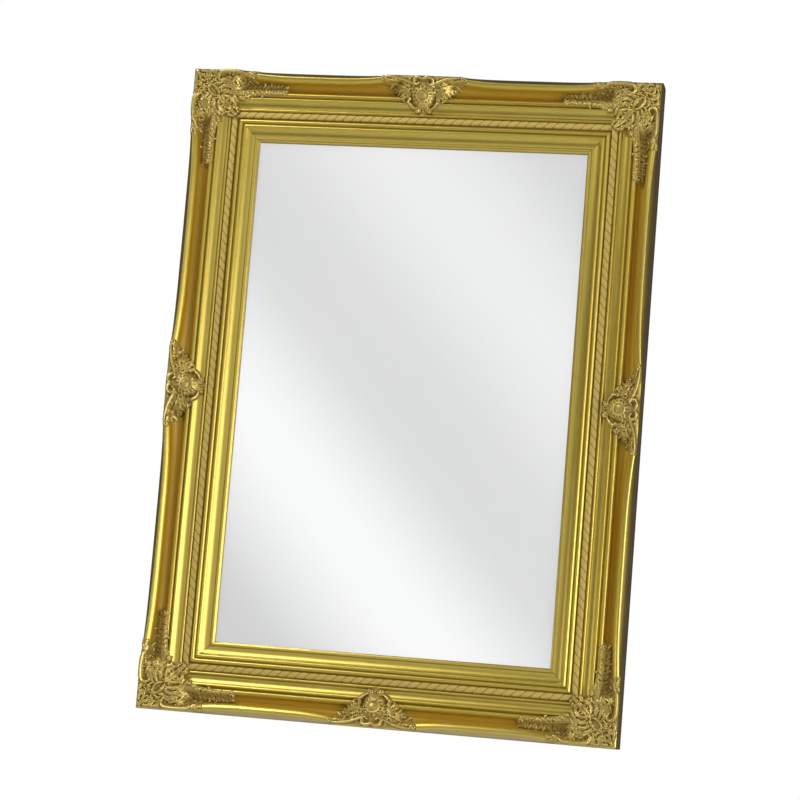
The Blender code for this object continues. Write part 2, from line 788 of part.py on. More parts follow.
def build_mirror():
    clear_scene()
    gold = finish("burnished_gold", (0.60, 0.43, 0.07), 0.34, 1.0)
    cast = finish("cast_gold", (0.55, 0.40, 0.13), 0.48, 1.0)
    silver = finish("silvered_glass", (0.86, 0.87, 0.88), 0.03, 1.0)
    brown = finish("backing_board", (0.30, 0.21, 0.13), 0.8, 0.0)
    steel = finish("zinc_steel", (0.62, 0.62, 0.60), 0.4, 1.0)
    build_member("top_rail", "top", gold)
    build_member("bottom_rail", "bottom", gold)
    build_member("left_stile", "left", gold)
    build_member("right_stile", "right", gold)
    for member in ("top", "bottom", "left", "right"):
        build_rope("rope_twist_" + member, member, cast)
    build_corners(cast)
    build_centres(cast)
    build_glass(silver)
    build_board(brown)
    build_hanger(steel)
    screw_x = HANGER_LENGTH / 2 - SCREW_INSET
    build_screw("hanger_screw_left", -screw_x, steel)
    build_screw("hanger_screw_right", screw_x, steel)


build_mirror()
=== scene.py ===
import math

import bmesh
import bpy
import numpy as np
from mathutils import Euler, Matrix, Vector


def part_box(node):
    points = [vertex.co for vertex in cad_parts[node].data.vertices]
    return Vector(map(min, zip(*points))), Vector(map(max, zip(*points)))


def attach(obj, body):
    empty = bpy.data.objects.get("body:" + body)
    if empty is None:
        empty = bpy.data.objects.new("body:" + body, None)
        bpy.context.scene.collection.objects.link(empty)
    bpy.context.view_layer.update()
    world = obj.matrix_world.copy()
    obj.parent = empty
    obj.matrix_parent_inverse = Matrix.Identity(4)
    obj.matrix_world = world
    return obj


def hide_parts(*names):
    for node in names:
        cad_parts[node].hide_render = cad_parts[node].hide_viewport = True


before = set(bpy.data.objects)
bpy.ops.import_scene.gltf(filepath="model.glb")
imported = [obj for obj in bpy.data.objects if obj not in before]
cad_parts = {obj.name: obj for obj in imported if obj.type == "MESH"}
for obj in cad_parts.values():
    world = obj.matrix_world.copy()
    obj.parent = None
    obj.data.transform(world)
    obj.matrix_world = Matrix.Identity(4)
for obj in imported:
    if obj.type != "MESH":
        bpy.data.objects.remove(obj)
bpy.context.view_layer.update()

# Sizes in metres. Those of the whole mirror are read from the frame.
GLASS_LOW, GLASS_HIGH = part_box("mirror_glass")
RAIL_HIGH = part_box("top_rail")[1]
STILE_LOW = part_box("left_stile")[0]
GLASS_LAP = 0.005
MITRE_GAP = 0.000225
HALF_SIGHT_WIDTH = (GLASS_HIGH[0] - GLASS_LOW[0]) / 2 - GLASS_LAP
HALF_SIGHT_HEIGHT = (GLASS_HIGH[2] - GLASS_LOW[2]) / 2 - GLASS_LAP
HALF_WIDTH = RAIL_HIGH[0] + MITRE_GAP
FRAME_WIDTH = HALF_WIDTH - HALF_SIGHT_WIDTH
HALF_HEIGHT = HALF_SIGHT_HEIGHT + FRAME_WIDTH
CENTRE_Z = (GLASS_HIGH[2] + GLASS_LOW[2]) / 2
GLASS_Y = GLASS_LOW[1]
BACK_DEPTH = RAIL_HIGH[1] - GLASS_Y
REBATE_CLEARANCE = 0.001
REBATE = GLASS_LAP + REBATE_CLEARANCE

SWEEP = 0.0052
SWEEP_START = 0.060
SWEEP_REST_SHARE = 0.72
CENTRE_HALF_LENGTH = 0.052
CORNER_ARM = 0.121

# The moulding: distance from the sight edge, height over the glass, bulge of
# the arc that leads to the point, and the share of the sweep that moves it
MOULDING = (
    (0.0000, 0.0003, 0.0, 0.0),
    (0.0000, 0.0028, 0.0, 0.0),
    (0.0042, 0.0060, 0.0012, 0.0),
    (0.0054, 0.0050, 0.0, 0.0),
    (0.0154, 0.0102, -0.0014, 0.0),
    (0.0192, 0.0104, 0.0013, 0.0),
    (0.0202, 0.0096, 0.0, 0.0),
    (0.0256, 0.0100, 0.0022, 0.0),
    (0.0264, 0.0088, 0.0, 0.0),
    (0.0344, 0.0088, 0.0, 0.0),
    (0.0389, 0.0082, 0.0025, 0.0),
    (0.0398, 0.0074, 0.0, 0.0),
    (0.0484, 0.0120, -0.0011, 0.0),
    (0.0514, 0.0112, 0.0013, 0.0),
    (0.0527, 0.0096, 0.0, 0.0),
    (0.0590, 0.0092, 0.0023, 0.0),
    (0.0640, 0.0046, -0.0008, 0.10),
    (0.0740, 0.0168, -0.0030, 1.0),
    (0.0776, 0.0214, 0.0006, 1.0),
    (0.0816, 0.0206, 0.0011, 1.0),
    (0.0827, 0.0120, 0.0006, 0.25),
    (0.0830, 0.0060, 0.0, 0.0),
)
ROPE_FLOOR_START = 0.0264
ROPE_FLOOR_END = 0.0344
ROPE_FLOOR_HEIGHT = 0.0088
ROPE_PITCH = 0.0107
BED_CLEARANCE = 0.0004
BED_SIDES = 12
ROPE_BACK = 0.0027
ROPE_FULLNESS = 3.2
STRAND_RISE = 0.00095
STRAND_SLANT_DEGREES = 42
STRAND_CELLS = (12, 14)
STRAND_CLEARANCE = 0.0003
STRAND_HALF_SHARE = 0.49
STRAND_TIP_SHARE = 0.30
STRAND_SET_SHARE = 0.25
STRAND_FOOT_SHARE = 0.7
VEIN_DEPTH = 0.4
VEIN_PLACE = 0.05
VEIN_WIDTH = 0.22
# Share of the crest colour on the rope's bed: low, so the bed between the strands is painted dark as shade.
BED_SHADE_TONE = 0.12

FINE_ARC = 0.0006
FLAT_STEP = 0.002
RAIL_STATIONS = 44
SIDE_STEPS = 8
BACK_STEPS = 6
CAST_GRID = 0.0005
CAST_THICKNESS = 0.0012
CAST_EDGE = 0.0006
CAST_SINK = 0.0003
RELIEF_RANGE = 0.0022
CAST_INSET = 0.0008
CORNER_MARGIN = 0.004
CENTRE_MARGIN = 0.002
CENTRE_DEPTH = 0.050
MM = 0.001
STROKE_MARGIN = 2.5 * MM
CREASE_WIDTH = 0.26

# Cells of the castings' grid over which a height field is blurred
DRAPE_CELLS = 5
MASS_CELLS = 2
RELIEF_CELLS = 3

# How high a casting fills the cove, in millimetres in from the outer edge
GROUND_PLACES = (0, 3, 7, 18, 32, 40)
GROUND_HEIGHTS = (12, 19, 20.5, 16.5, 11.5, 9)

# Where the sides, back and rebate lie on the unrolled section
SIDE_UNROLL = 0.012
BACK_UNROLL = 0.04
REBATE_UNROLL = 0.09
SEAM_UNROLL = 0.092

# The gilding across the moulding, as distances from the sight edge
COVE_START = (0.0588, 0.0606)
COVE_END = (0.0735, 0.0760)
GROOVES = (0.0198, 0.0048, 0.0262, 0.0344, 0.0387, 0.0527, 0.0600)
GROOVE_WIDTH = 0.0012

MEMBERS = ("top", "bottom", "left", "right")
MEMBER_NODES = {
    "top": "top_rail", "bottom": "bottom_rail", "left": "left_stile", "right": "right_stile",
}

# Linear colours
GOLD_DEEP = (0.53, 0.385, 0.042)
GOLD_PALE = (0.74, 0.61, 0.130)
GOLD_MOTTLE = (0.62, 0.43, 0.075)
GOLD_WORN = (0.36, 0.20, 0.05)
COVE_AMBER = (0.56, 0.345, 0.018)
GROOVE_GLAZE = (0.20, 0.13, 0.02)
RIM_BRONZE = (0.48, 0.350, 0.110)
SIDE_BROWN = (0.030, 0.016, 0.006)
SIDE_RUSSET = (0.075, 0.042, 0.014)
SIDE_FLECK = (0.42, 0.28, 0.08)
# Castings' colours by relief: the hollow colour is partly painted shade, the crest colour partly a painted
# highlight.
CAST_HOLLOW_SHADE = (0.29, 0.195, 0.040)
CAST_FACE = (0.46, 0.340, 0.085)
CAST_CREST_HIGHLIGHT = (0.66, 0.520, 0.170)
CAST_WASH = (0.46, 0.35, 0.13)
# The rope's hollow colour is painted shade and its crest colour a painted highlight, by relief.
ROPE_HOLLOW_SHADE = (0.36, 0.25, 0.050)
ROPE_CREST_HIGHLIGHT = (0.58, 0.44, 0.115)
ROPE_SPECK = (0.34, 0.22, 0.06)
SILVER_COOL = (0.915, 0.925, 0.93)
SILVER_WARM = (0.94, 0.94, 0.945)
BOARD_DARK = (0.22, 0.140, 0.075)
BOARD_PALE = (0.42, 0.30, 0.18)
BOARD_CLOUD = (0.28, 0.185, 0.10)
ZINC_DULL = (0.46, 0.46, 0.45)
ZINC_BRIGHT = (0.68, 0.68, 0.66)
FLOOR_GREY = (0.90, 0.90, 0.90)
FLOOR_PALE = (0.93, 0.93, 0.93)

# The photograph's camera
CAMERA_PLACE = (0.5112, -2.5905, -0.3103)
CAMERA_LENS_PIXELS = 2305.0
PHOTO_PIXELS = 800
SENSOR = 36.0
CAMERA_RIGHT = (0.97954, 0.18424, 0.08102)
CAMERA_UP = (-0.05756, -0.12929, 0.98993)
FLOOR_DROP = 1.15
FLOOR_REACH = 2.4

# The front of the studio, whose bands the glass shows along a slant: where
# the slant is straight ahead, and its change upwards and to the right
SLANT_AHEAD = -0.278
SLANT_UPWARDS = 4.39
SLANT_RIGHTWARDS = 4.78
FRONT_GLOW = 0.75
SIDE_GLOW = 0.08

# Soft lights: name, place from the middle of the glass, size and power
LIGHTS = (
    ("right_low", (1.45, -1.45, -0.55), (0.9, 0.9), 6.5),
    ("right_high", (1.45, -1.45, 0.50), (0.9, 0.9), 2.5),
    ("right_side", (1.70, -0.75, -0.30), (0.9, 1.2), 18.0),
    ("left_side", (-1.70, -0.80, -0.60), (0.8, 0.8), 5.5),
    ("top_left", (-0.92, -0.78, 1.36), (0.7, 0.7), 19.0),
    ("behind", (-0.50, 1.80, 0.30), (1.0, 1.0), 13.0),
)


# Shader maths

class Term:
    """A number or a socket in a material, which adds its Math nodes."""

    def __init__(self, tree, socket):
        self.tree = tree
        self.socket = socket

    def _math(self, operation, *values):
        """The result of one Math node."""
        node = self.tree.nodes.new("ShaderNodeMath")
        node.operation = operation
        for place, value in enumerate(values):
            if isinstance(value, Term):
                self.tree.links.new(value.socket, node.inputs[place])
            else:
                node.inputs[place].default_value = value
        return Term(self.tree, node.outputs[0])

    def __add__(self, other):
        return self._math("ADD", self, other)

    __radd__ = __add__

    def __sub__(self, other):
        return self._math("SUBTRACT", self, other)

    def __rsub__(self, other):
        return self._math("SUBTRACT", other, self)

    def __mul__(self, other):
        return self._math("MULTIPLY", self, other)

    __rmul__ = __mul__

    def __truediv__(self, other):
        return self._math("DIVIDE", self, other)

    def __abs__(self):
        return self._math("ABSOLUTE", self)

    def most(self, other):
        return self._math("MAXIMUM", self, other)

    def ramp(self, low, high):
        """0 at low and 1 at high, smoothly."""
        node = self.tree.nodes.new("ShaderNodeMapRange")
        node.interpolation_type = "SMOOTHSTEP"
        self.tree.links.new(self.socket, node.inputs["Value"])
        node.inputs["From Min"].default_value = low
        node.inputs["From Max"].default_value = high
        return Term(self.tree, node.outputs["Result"])


class Finish:
    """A material under construction."""

    def __init__(self, name, **constants):
        self.material = bpy.data.materials.new(name)
        self.material.use_nodes = True
        self.tree = self.material.node_tree
        self.shader = self.tree.nodes["Principled BSDF"]
        for key, value in constants.items():
            self.shader.inputs[key.replace("_", " ")].default_value = value

    def node(self, kind, settings=None, **values):
        """One node, with its settings set before its values and links."""
        item = self.tree.nodes.new(kind)
        for key, value in (settings or {}).items():
            setattr(item, key, value)
        for key, value in values.items():
            socket = item.inputs[key.replace("_", " ")]
            if isinstance(value, Term):
                self.tree.links.new(value.socket, socket)
            else:
                socket.default_value = value
        return item

    def out(self, item, name):
        """A node's output, as a term."""
        return Term(self.tree, item.outputs[name])

    def object_place(self, scale=(1, 1, 1)):
        """Coordinates in metres, for a pattern in the solid."""
        place = self.node("ShaderNodeTexCoord")
        turned = self.node("ShaderNodeMapping", Vector=self.out(place, "Object"), Scale=scale)
        return self.out(turned, "Vector")

    def surface_place(self, scale):
        """Coordinates along and across the unrolled moulding."""
        place = self.node("ShaderNodeUVMap", {"uv_map": "surface"})
        turned = self.node("ShaderNodeMapping", Vector=self.out(place, "UV"), Scale=scale)
        return self.out(turned, "Vector")

    def surface_axes(self):
        """The run along the moulding and the distance out, as two terms."""
        place = self.node("ShaderNodeUVMap", {"uv_map": "surface"})
        parts = self.node("ShaderNodeSeparateXYZ", Vector=self.out(place, "UV"))
        return self.out(parts, "X"), self.out(parts, "Y")

    def noise(self, place, scale, detail=3.0, roughness=0.55):
        """A cloudy value around a half."""
        item = self.node("ShaderNodeTexNoise", Vector=place, Scale=scale, Detail=detail, Roughness=roughness)
        return self.out(item, "Fac")

    def cells(self, place, scale):
        """Distance from the middle of a Voronoi cell."""
        item = self.node("ShaderNodeTexVoronoi", Vector=place, Scale=scale)
        return self.out(item, "Distance")

    def attribute(self, name):
        """A value stored at the mesh's points."""
        return self.out(self.node("ShaderNodeAttribute", {"attribute_name": name}), "Fac")

    def mix(self, share, first, second):
        """A blend of two colours, each given as numbers or as a term."""
        item = self.node("ShaderNodeMix", {"data_type": "RGBA"})
        for place, value in ((0, share), (6, first), (7, second)):
            if isinstance(value, Term):
                self.tree.links.new(value.socket, item.inputs[place])
            elif place == 0:
                item.inputs[place].default_value = value
            else:
                item.inputs[place].default_value = (*value, 1.0)
        return Term(self.tree, item.outputs[2])

    def feed(self, name, term):
        """Links a term to an input of the shader."""
        self.tree.links.new(term.socket, self.shader.inputs[name])

    def bump(self, height, distance, strength):
        """Links a fine relief to the shader's normal."""
        item = self.node("ShaderNodeBump", Height=height, Distance=distance, Strength=strength)
        self.feed("Normal", self.out(item, "Normal"))


def peak(term, centre, width):
    """1 at the centre, falling smoothly to 0 at the width."""
    return (1 - abs(term - centre) / width).ramp(0.0, 1.0)


def gold_leaf():
    """Leaf on the mouldings, with glaze in the quirks and brown sides."""
    leaf = Finish("gold_leaf", Metallic=1.0, Coat_Weight=0.6, Coat_Roughness=0.3)
    along, out = leaf.surface_axes()
    streaks = leaf.noise(leaf.surface_place((26.0, 1500.0, 1.0)), 1.0, 4.0, 0.6)
    fine_streaks = leaf.noise(leaf.surface_place((90.0, 5200.0, 1.0)), 1.0, 2.0)
    mottle = leaf.noise(leaf.object_place(), 55.0, 4.0, 0.6)
    specks = leaf.noise(leaf.object_place(), 900.0, 2.0, 0.7)
    colour = leaf.mix(streaks.ramp(0.2, 0.85) * 0.7 + 0.15, GOLD_DEEP, GOLD_PALE)
    colour = leaf.mix(mottle.ramp(0.35, 0.8) * 0.5, colour, GOLD_MOTTLE)
    worn = specks.ramp(0.62, 0.78) * mottle.ramp(0.4, 0.65) * 0.55
    colour = leaf.mix(worn, colour, GOLD_WORN)
    cove = out.ramp(*COVE_START) * (1 - out.ramp(*COVE_END))
    colour = leaf.mix(cove * 0.94, colour, COVE_AMBER)
    quirks = peak(out, GROOVES[0], GROOVE_WIDTH)
    for groove in GROOVES[1:]:
        quirks = quirks.most(peak(out, groove, GROOVE_WIDTH))
    colour = leaf.mix(quirks * 0.55, colour, GROOVE_GLAZE)
    bronze = (out + (mottle - 0.5) * 0.0010).ramp(FRAME_WIDTH - 0.0020, FRAME_WIDTH - 0.0008)
    colour = leaf.mix(bronze * 0.9, colour, RIM_BRONZE)
    side = (out + (mottle - 0.5) * 0.0016).ramp(FRAME_WIDTH - 0.0002, FRAME_WIDTH + 0.0020)
    side_edge = out.ramp(FRAME_WIDTH + 0.001, FRAME_WIDTH + 0.014)
    brown = leaf.mix(mottle.ramp(0.3, 0.8), SIDE_BROWN, SIDE_RUSSET)
    brown = leaf.mix(specks.ramp(0.66, 0.74) * (1 - side_edge * 0.6), brown, SIDE_FLECK)
    colour = leaf.mix(side, colour, brown)
    leaf.feed("Base Color", colour)
    leaf.feed("Metallic", (1 - side * 0.92) * (1 - cove * 0.35))
    leaf.feed("Roughness", 0.34 + streaks * 0.10 + worn * 0.3 + quirks * 0.2 + side * 0.2 + cove * 0.24)
    leaf.bump(fine_streaks * 0.18 + mottle * 1.0 + specks * 0.22, 0.00022, 0.5)
    return leaf.material


def cast_leaf():
    """Gilt castings over a dull beige gold: browner hollows, partly a wash and partly painted shade, and
    brighter crests, partly rubbed gold and partly a painted highlight.
    """
    cast = Finish("cast_gilding")
    rise = cast.attribute("rise")
    mottle = cast.noise(cast.object_place(), 240.0, 4.0, 0.6)
    grain = cast.noise(cast.object_place(), 1300.0, 2.0, 0.6)
    height = rise + (mottle - 0.5) * 0.25
    # Colour by relief: painted shade darkens the hollows, a painted highlight lightens the crests.
    colour = cast.mix(height.ramp(0.10, 0.45), CAST_HOLLOW_SHADE, CAST_FACE)
    colour = cast.mix(height.ramp(0.50, 0.95), colour, CAST_CREST_HIGHLIGHT)
    wash = mottle.ramp(0.45, 0.7) * (1 - height.ramp(0.5, 0.8)) * 0.5
    colour = cast.mix(wash, colour, CAST_WASH)
    cast.feed("Base Color", colour)
    cast.feed("Metallic", 0.62 + height.ramp(0.35, 0.85) * 0.34)
    cast.feed("Roughness", 0.54 - height.ramp(0.4, 0.9) * 0.12 + grain * 0.06)
    cast.bump(grain * 0.5 + mottle, 0.00018, 0.5)
    return cast.material


def rope_gilding():
    """Rubbed beige gold on the rope, speckled with brown, with painted shade browning its grooves and bed and
    a painted highlight on the strands' crests.
    """
    rope = Finish("rope_gilding")
    rise = rope.attribute("rise")
    mottle = rope.noise(rope.object_place(), 330.0, 3.0, 0.6)
    specks = rope.noise(rope.object_place(), 1100.0, 2.0, 0.7)
    height = rise + (mottle - 0.5) * 0.5
    # Colour by relief: painted shade in the grooves and on the bed, a painted highlight on the strands'
    # crests.
    colour = rope.mix(height.ramp(0.10, 0.6), ROPE_HOLLOW_SHADE, ROPE_CREST_HIGHLIGHT)
    colour = rope.mix(specks.ramp(0.58, 0.74) * 0.5, colour, ROPE_SPECK)
    rope.feed("Base Color", colour)
    rope.feed("Metallic", 0.42 + height.ramp(0.3, 0.9) * 0.12)
    rope.feed("Roughness", 0.70 - height.ramp(0.3, 0.9) * 0.08 + specks * 0.08)
    rope.bump(specks * 0.6 + mottle, 0.00018, 0.5)
    return rope.material


def silvered_glass():
    """Clear silvered sheet with the faintest bloom and dust."""
    silver = Finish("silvered_sheet", IOR=1.52)
    bloom = silver.noise(silver.object_place(), 7.0, 3.0, 0.5)
    dust = silver.noise(silver.object_place(), 1600.0, 1.0, 0.5)
    silver.feed("Base Color", silver.mix(bloom, SILVER_COOL, SILVER_WARM))
    silver.feed("Roughness", 0.012 + bloom * 0.012 + dust.ramp(0.74, 0.8) * 0.02)
    silver.feed("Metallic", 0.86 - dust.ramp(0.7, 0.8) * 0.03)
    return silver.material


def fibreboard():
    """Brown pressed board with short pale fibres."""
    board = Finish("pressed_board")
    fibres = board.noise(board.object_place((300.0, 300.0, 1100.0)), 1.0, 3.0, 0.65)
    cloud = board.noise(board.object_place(), 9.0, 3.0, 0.5)
    colour = board.mix(fibres.ramp(0.3, 0.75), BOARD_DARK, BOARD_PALE)
    board.feed("Base Color", board.mix(cloud * 0.4, colour, BOARD_CLOUD))
    board.feed("Roughness", 0.72 + fibres * 0.2)
    board.bump(fibres, 0.0002, 0.6)
    return board.material


def zinc_plate():
    """Dull zinc with fine spangle and a patchy haze."""
    zinc = Finish("zinc_plating", Metallic=1.0)
    spangle = zinc.cells(zinc.object_place(), 700.0)
    haze = zinc.noise(zinc.object_place(), 160.0, 3.0, 0.6)
    zinc.feed("Base Color", zinc.mix(spangle.ramp(0.1, 0.9), ZINC_DULL, ZINC_BRIGHT))
    zinc.feed("Roughness", 0.30 + haze * 0.25)
    zinc.bump(haze, 0.0001, 0.5)
    return zinc.material


# The moulding's section and the surface of the frame

def arc(start, end, bulge, count):
    """Points after start, up to end, on an arc that bulges to the left."""
    start = np.array(start)
    end = np.array(end)
    chord = end - start
    across = np.array([-chord[1], chord[0]]) / max(float(np.hypot(*chord)), 1e-9)
    shares = np.linspace(0, 1, count + 1)[1:]
    return [tuple(start + chord * t + across * (4 * t * (1 - t) * bulge)) for t in shares]


def moulding_rows(arc_step):
    """The section's points, with the share of the sweep at each."""
    rows = [(MOULDING[0][0], MOULDING[0][1], MOULDING[0][3])]
    for before, after in zip(MOULDING, MOULDING[1:]):
        length = math.hypot(after[0] - before[0], after[1] - before[1])
        count = max(2, round(length / arc_step)) if after[2] else max(1, round(length / FLAT_STEP))
        for step, point in enumerate(arc(before[:2], after[:2], after[2], count), start=1):
            share = before[3] + (after[3] - before[3]) * step / count
            rows.append((point[0], point[1], share))
    return np.array(rows)


FINE_ROWS = moulding_rows(FINE_ARC)


def sweep_at(along, half_length):
    """How far the outer edge has drawn in at a place along a member."""
    start = CENTRE_HALF_LENGTH * SWEEP_REST_SHARE
    end = half_length - SWEEP_START
    share = np.clip((np.abs(along) - start) / (end - start), 0.0, 1.0)
    return SWEEP * (1 - (1 - np.sin(math.pi * share)) ** 2)


def height_in_member(from_edge, along, half_length):
    """Height of the moulding at a distance in from its outer edge."""
    out = FRAME_WIDTH - from_edge
    swing = np.broadcast_to(sweep_at(along, half_length), out.shape)
    front = FINE_ROWS[1:]
    heights = [
        np.interp(place, front[:, 0] - front[:, 2] * moved, front[:, 1])
        for place, moved in zip(out.ravel(), swing.ravel())
    ]
    on_rope = (out > ROPE_FLOOR_START) & (out < ROPE_FLOOR_END)
    heights = np.array(heights).reshape(out.shape)
    return np.where(on_rope, np.maximum(heights, ROPE_FLOOR_HEIGHT + ROPE_BACK + STRAND_RISE), heights)


def corner_height(across, up):
    """Height of the two mitred members, in from an outer corner."""
    in_rail = up <= across
    rail = height_in_member(up, HALF_WIDTH - across, HALF_WIDTH)
    stile = height_in_member(across, HALF_HEIGHT - up, HALF_HEIGHT)
    return np.where(in_rail, rail, stile)


def placed(member, along, out, height):
    """A point of a member, from its run, its distance out and its height."""
    y = GLASS_Y - height
    if member == "top":
        return (along, y, CENTRE_Z + HALF_SIGHT_HEIGHT + out)
    if member == "bottom":
        return (-along, y, CENTRE_Z - HALF_SIGHT_HEIGHT - out)
    if member == "left":
        return (-HALF_SIGHT_WIDTH - out, y, CENTRE_Z + along)
    return (HALF_SIGHT_WIDTH + out, y, CENTRE_Z - along)


def half_sight(member):
    """Half the visible glass along a member."""
    return HALF_SIGHT_WIDTH if member in ("top", "bottom") else HALF_SIGHT_HEIGHT


# Pieces

def placed_object(name, data):
    """A new object in the scene."""
    item = bpy.data.objects.new(name, data)
    bpy.context.scene.collection.objects.link(item)
    return item


def store_rise(mesh, rises):
    """Keeps the relief at the mesh's points, from which its gilding paints shade in the hollows and
    highlights on the crests.
    """
    layer = mesh.attributes.new("rise", "FLOAT", "POINT")
    layer.data.foreach_set("value", np.array(rises, np.float32))


def new_piece(name, mesh, material, slot, *nodes):
    """A finished piece that rides on the mirror and stands for its nodes."""
    mesh.materials.clear()
    mesh.materials.append(material)
    item = placed_object(name, mesh)
    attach(item, "root")
    if nodes:
        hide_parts(*nodes)
    return item


def mesh_from(name, vertices, faces, sharp_degrees=None):
    """A smooth mesh, with its edges sharp past an angle."""
    mesh = bpy.data.meshes.new(name)
    mesh.from_pydata([tuple(v) for v in vertices], [], faces)
    mesh.update()
    mesh.shade_smooth()
    if sharp_degrees is not None:
        mesh.set_sharp_from_angle(angle=math.radians(sharp_degrees))
    return mesh


def carved_member(member, material):
    """One moulded member at full fineness, with its section laid out as UV."""
    rows = [(out, height, share, out) for out, height, share in FINE_ROWS]
    side_top = FINE_ROWS[-1][1]
    for step in range(1, SIDE_STEPS + 1):
        drop = (side_top + BACK_DEPTH) * step / SIDE_STEPS
        rows.append((FRAME_WIDTH, side_top - drop, 0.0, FRAME_WIDTH + SIDE_UNROLL + drop))
    back_start = FRAME_WIDTH + BACK_UNROLL
    for step in range(1, BACK_STEPS + 1):
        run = (FRAME_WIDTH - REBATE) * step / BACK_STEPS
        rows.append((FRAME_WIDTH - run, -BACK_DEPTH, 0.0, back_start + run))
    rows.append((REBATE, MOULDING[0][1], 0.0, back_start + REBATE_UNROLL))
    half_run = half_sight(member)
    half_length = half_run + FRAME_WIDTH
    vertices = []
    coordinates = []
    stations = np.linspace(-1, 1, 2 * RAIL_STATIONS + 1)
    for out, height, share, unrolled in rows:
        reach = half_run + out - MITRE_GAP
        along = stations * reach
        moved = share * sweep_at(along, half_length)
        for place, swing in zip(along, moved):
            vertices.append(placed(member, place, out - swing, height))
            coordinates.append((place, unrolled))
    across = len(stations)
    count = len(rows)
    faces = []
    for i in range(count):
        ahead = (i + 1) % count
        for k in range(across - 1):
            faces.append((i * across + k, i * across + k + 1, ahead * across + k + 1, ahead * across + k))
    faces.append(tuple(i * across for i in range(count)))
    faces.append(tuple(i * across + across - 1 for i in reversed(range(count))))
    mesh = mesh_from("carved_" + MEMBER_NODES[member], vertices, faces, sharp_degrees=35)
    layer = mesh.uv_layers.new(name="surface")
    last_row = (count - 1) * across
    corners = np.empty(len(mesh.loops), int)
    mesh.loops.foreach_get("vertex_index", corners)
    values = np.array(coordinates)[corners]
    for polygon in mesh.polygons:
        picked = list(polygon.loop_indices)
        if any(corners[k] >= last_row for k in picked) and any(corners[k] < across for k in picked):
            for k in picked:
                if corners[k] < across:
                    values[k, 1] = back_start + SEAM_UNROLL
    layer.data.foreach_set("uv", values.ravel().astype(np.float32))
    return new_piece(mesh.name, mesh, material, "burnished_gold", MEMBER_NODES[member])


# Cast ornament, drawn as strokes. A stroke is a path with a half width and a
# rise at each point, and a crease that runs along a leaf's middle.

def smooth_through(values, places):
    """A Catmull-Rom curve through the values."""
    padded = np.concatenate([[2 * values[0] - values[1]], values, [2 * values[-1] - values[-2]]])
    index = np.clip(places.astype(int), 0, len(values) - 2)
    t = places - index
    a, b, c, d = (padded[index + k] for k in range(4))
    return 0.5 * (
        2 * b + (c - a) * t + (2 * a - 5 * b + 4 * c - d) * t ** 2 + (3 * b - a - 3 * c + d) * t ** 3
    )


def stroke(points, half_widths, rises, crease=0.0):
    """A stroke through a few points, all in millimetres."""
    points = np.array(points, float)
    fine = np.linspace(0, len(points) - 1, 10 * (len(points) - 1) + 1)
    path = np.stack([smooth_through(points[:, k], fine) for k in range(2)], 1)
    shares = np.linspace(0, 1, len(fine))
    widths = np.interp(shares, np.linspace(0, 1, len(half_widths)), half_widths)
    heights = np.interp(shares, np.linspace(0, 1, len(rises)), rises)
    return path * MM, widths * MM, heights * MM, crease


def volute(centre, radius, start, turn, half_width, rise, turns=1.1):
    """A stroke that curls in to its centre from a starting angle."""
    count = 9
    points = []
    for step in range(count):
        share = step / (count - 1)
        angle = math.radians(start + turn * 360 * turns * share)
        reach = radius * (1 - 0.86 * share)
        points.append((centre[0] + reach * math.cos(angle), centre[1] + reach * math.sin(angle)))
    widths = (half_width * 0.85, half_width * 0.75, half_width * 0.8)
    return stroke(points, widths, (rise, rise * 1.05, rise * 1.15))


def petals(centre, angles, reach, half_width, rise, inner=0.25, crease=0.45):
    """Leaf lobes that fan out of one point."""
    strokes = []
    for angle in angles:
        way = np.array([math.cos(math.radians(angle)), math.sin(math.radians(angle))])
        path = [np.array(centre) + way * reach * share for share in (inner, 0.6, 1.0)]
        widths = (half_width * 0.5, half_width, half_width * 0.55)
        strokes.append(stroke(path, widths, (rise * 0.7, rise, rise * 0.8), crease))
    return strokes


def curled_leaf(points, half_width, rise):
    """One creased leaf that starts thin, fills and ends in a curled tip."""
    widths = (half_width * 0.5, half_width, half_width * 0.95, half_width * 0.55)
    return stroke(points, widths, (rise * 0.6, rise, rise * 0.85, rise * 1.15), 0.3)


def leaf_arm(path, count, spread, lengths, half_width, rise):
    """A run of paired lobes that lean along a rib and grow smaller."""
    rib = np.array(path, float)
    strokes = [stroke(path, (1.6, 1.1), (rise * 0.95, rise * 0.6))]
    for index in range(count):
        share = (index + 0.5) / count
        place = share * (len(rib) - 1)
        places = np.array([place, min(place + 0.05, len(rib) - 1.0)])
        (x, ahead_x), (y, ahead_y) = (smooth_through(rib[:, k], places) for k in range(2))
        heading = math.degrees(math.atan2(ahead_y - y, ahead_x - x))
        length = lengths[0] + (lengths[1] - lengths[0]) * share
        lobe = half_width * (length / lengths[0]) ** 0.5
        lobe_rise = rise * (0.9 - 0.25 * share)
        for side in (-1, 1):
            strokes += petals((x, y), [heading + side * spread], length, lobe, lobe_rise, 0.1)
    return strokes


def swapped(strokes):
    """The strokes mirrored over the mitre."""
    return [(path[:, ::-1].copy(), *rest) for path, *rest in strokes]


def mirrored(strokes):
    """The strokes mirrored over the middle."""
    return [(path * np.array([-1.0, 1.0]), *rest) for path, *rest in strokes]


def dome(centre, radius, rise):
    """A smooth boss."""
    x, y = centre
    return stroke(((x - 0.4, y), (x + 0.4, y)), (radius, radius), (rise, rise))


def ring(centre, radii, half_width, rise):
    """A raised oval rim."""
    angles = [math.radians(step * 30) for step in range(13)]
    points = [(centre[0] + radii[0] * math.cos(a), centre[1] + radii[1] * math.sin(a)) for a in angles]
    return stroke(points, (half_width, half_width), (rise, rise))


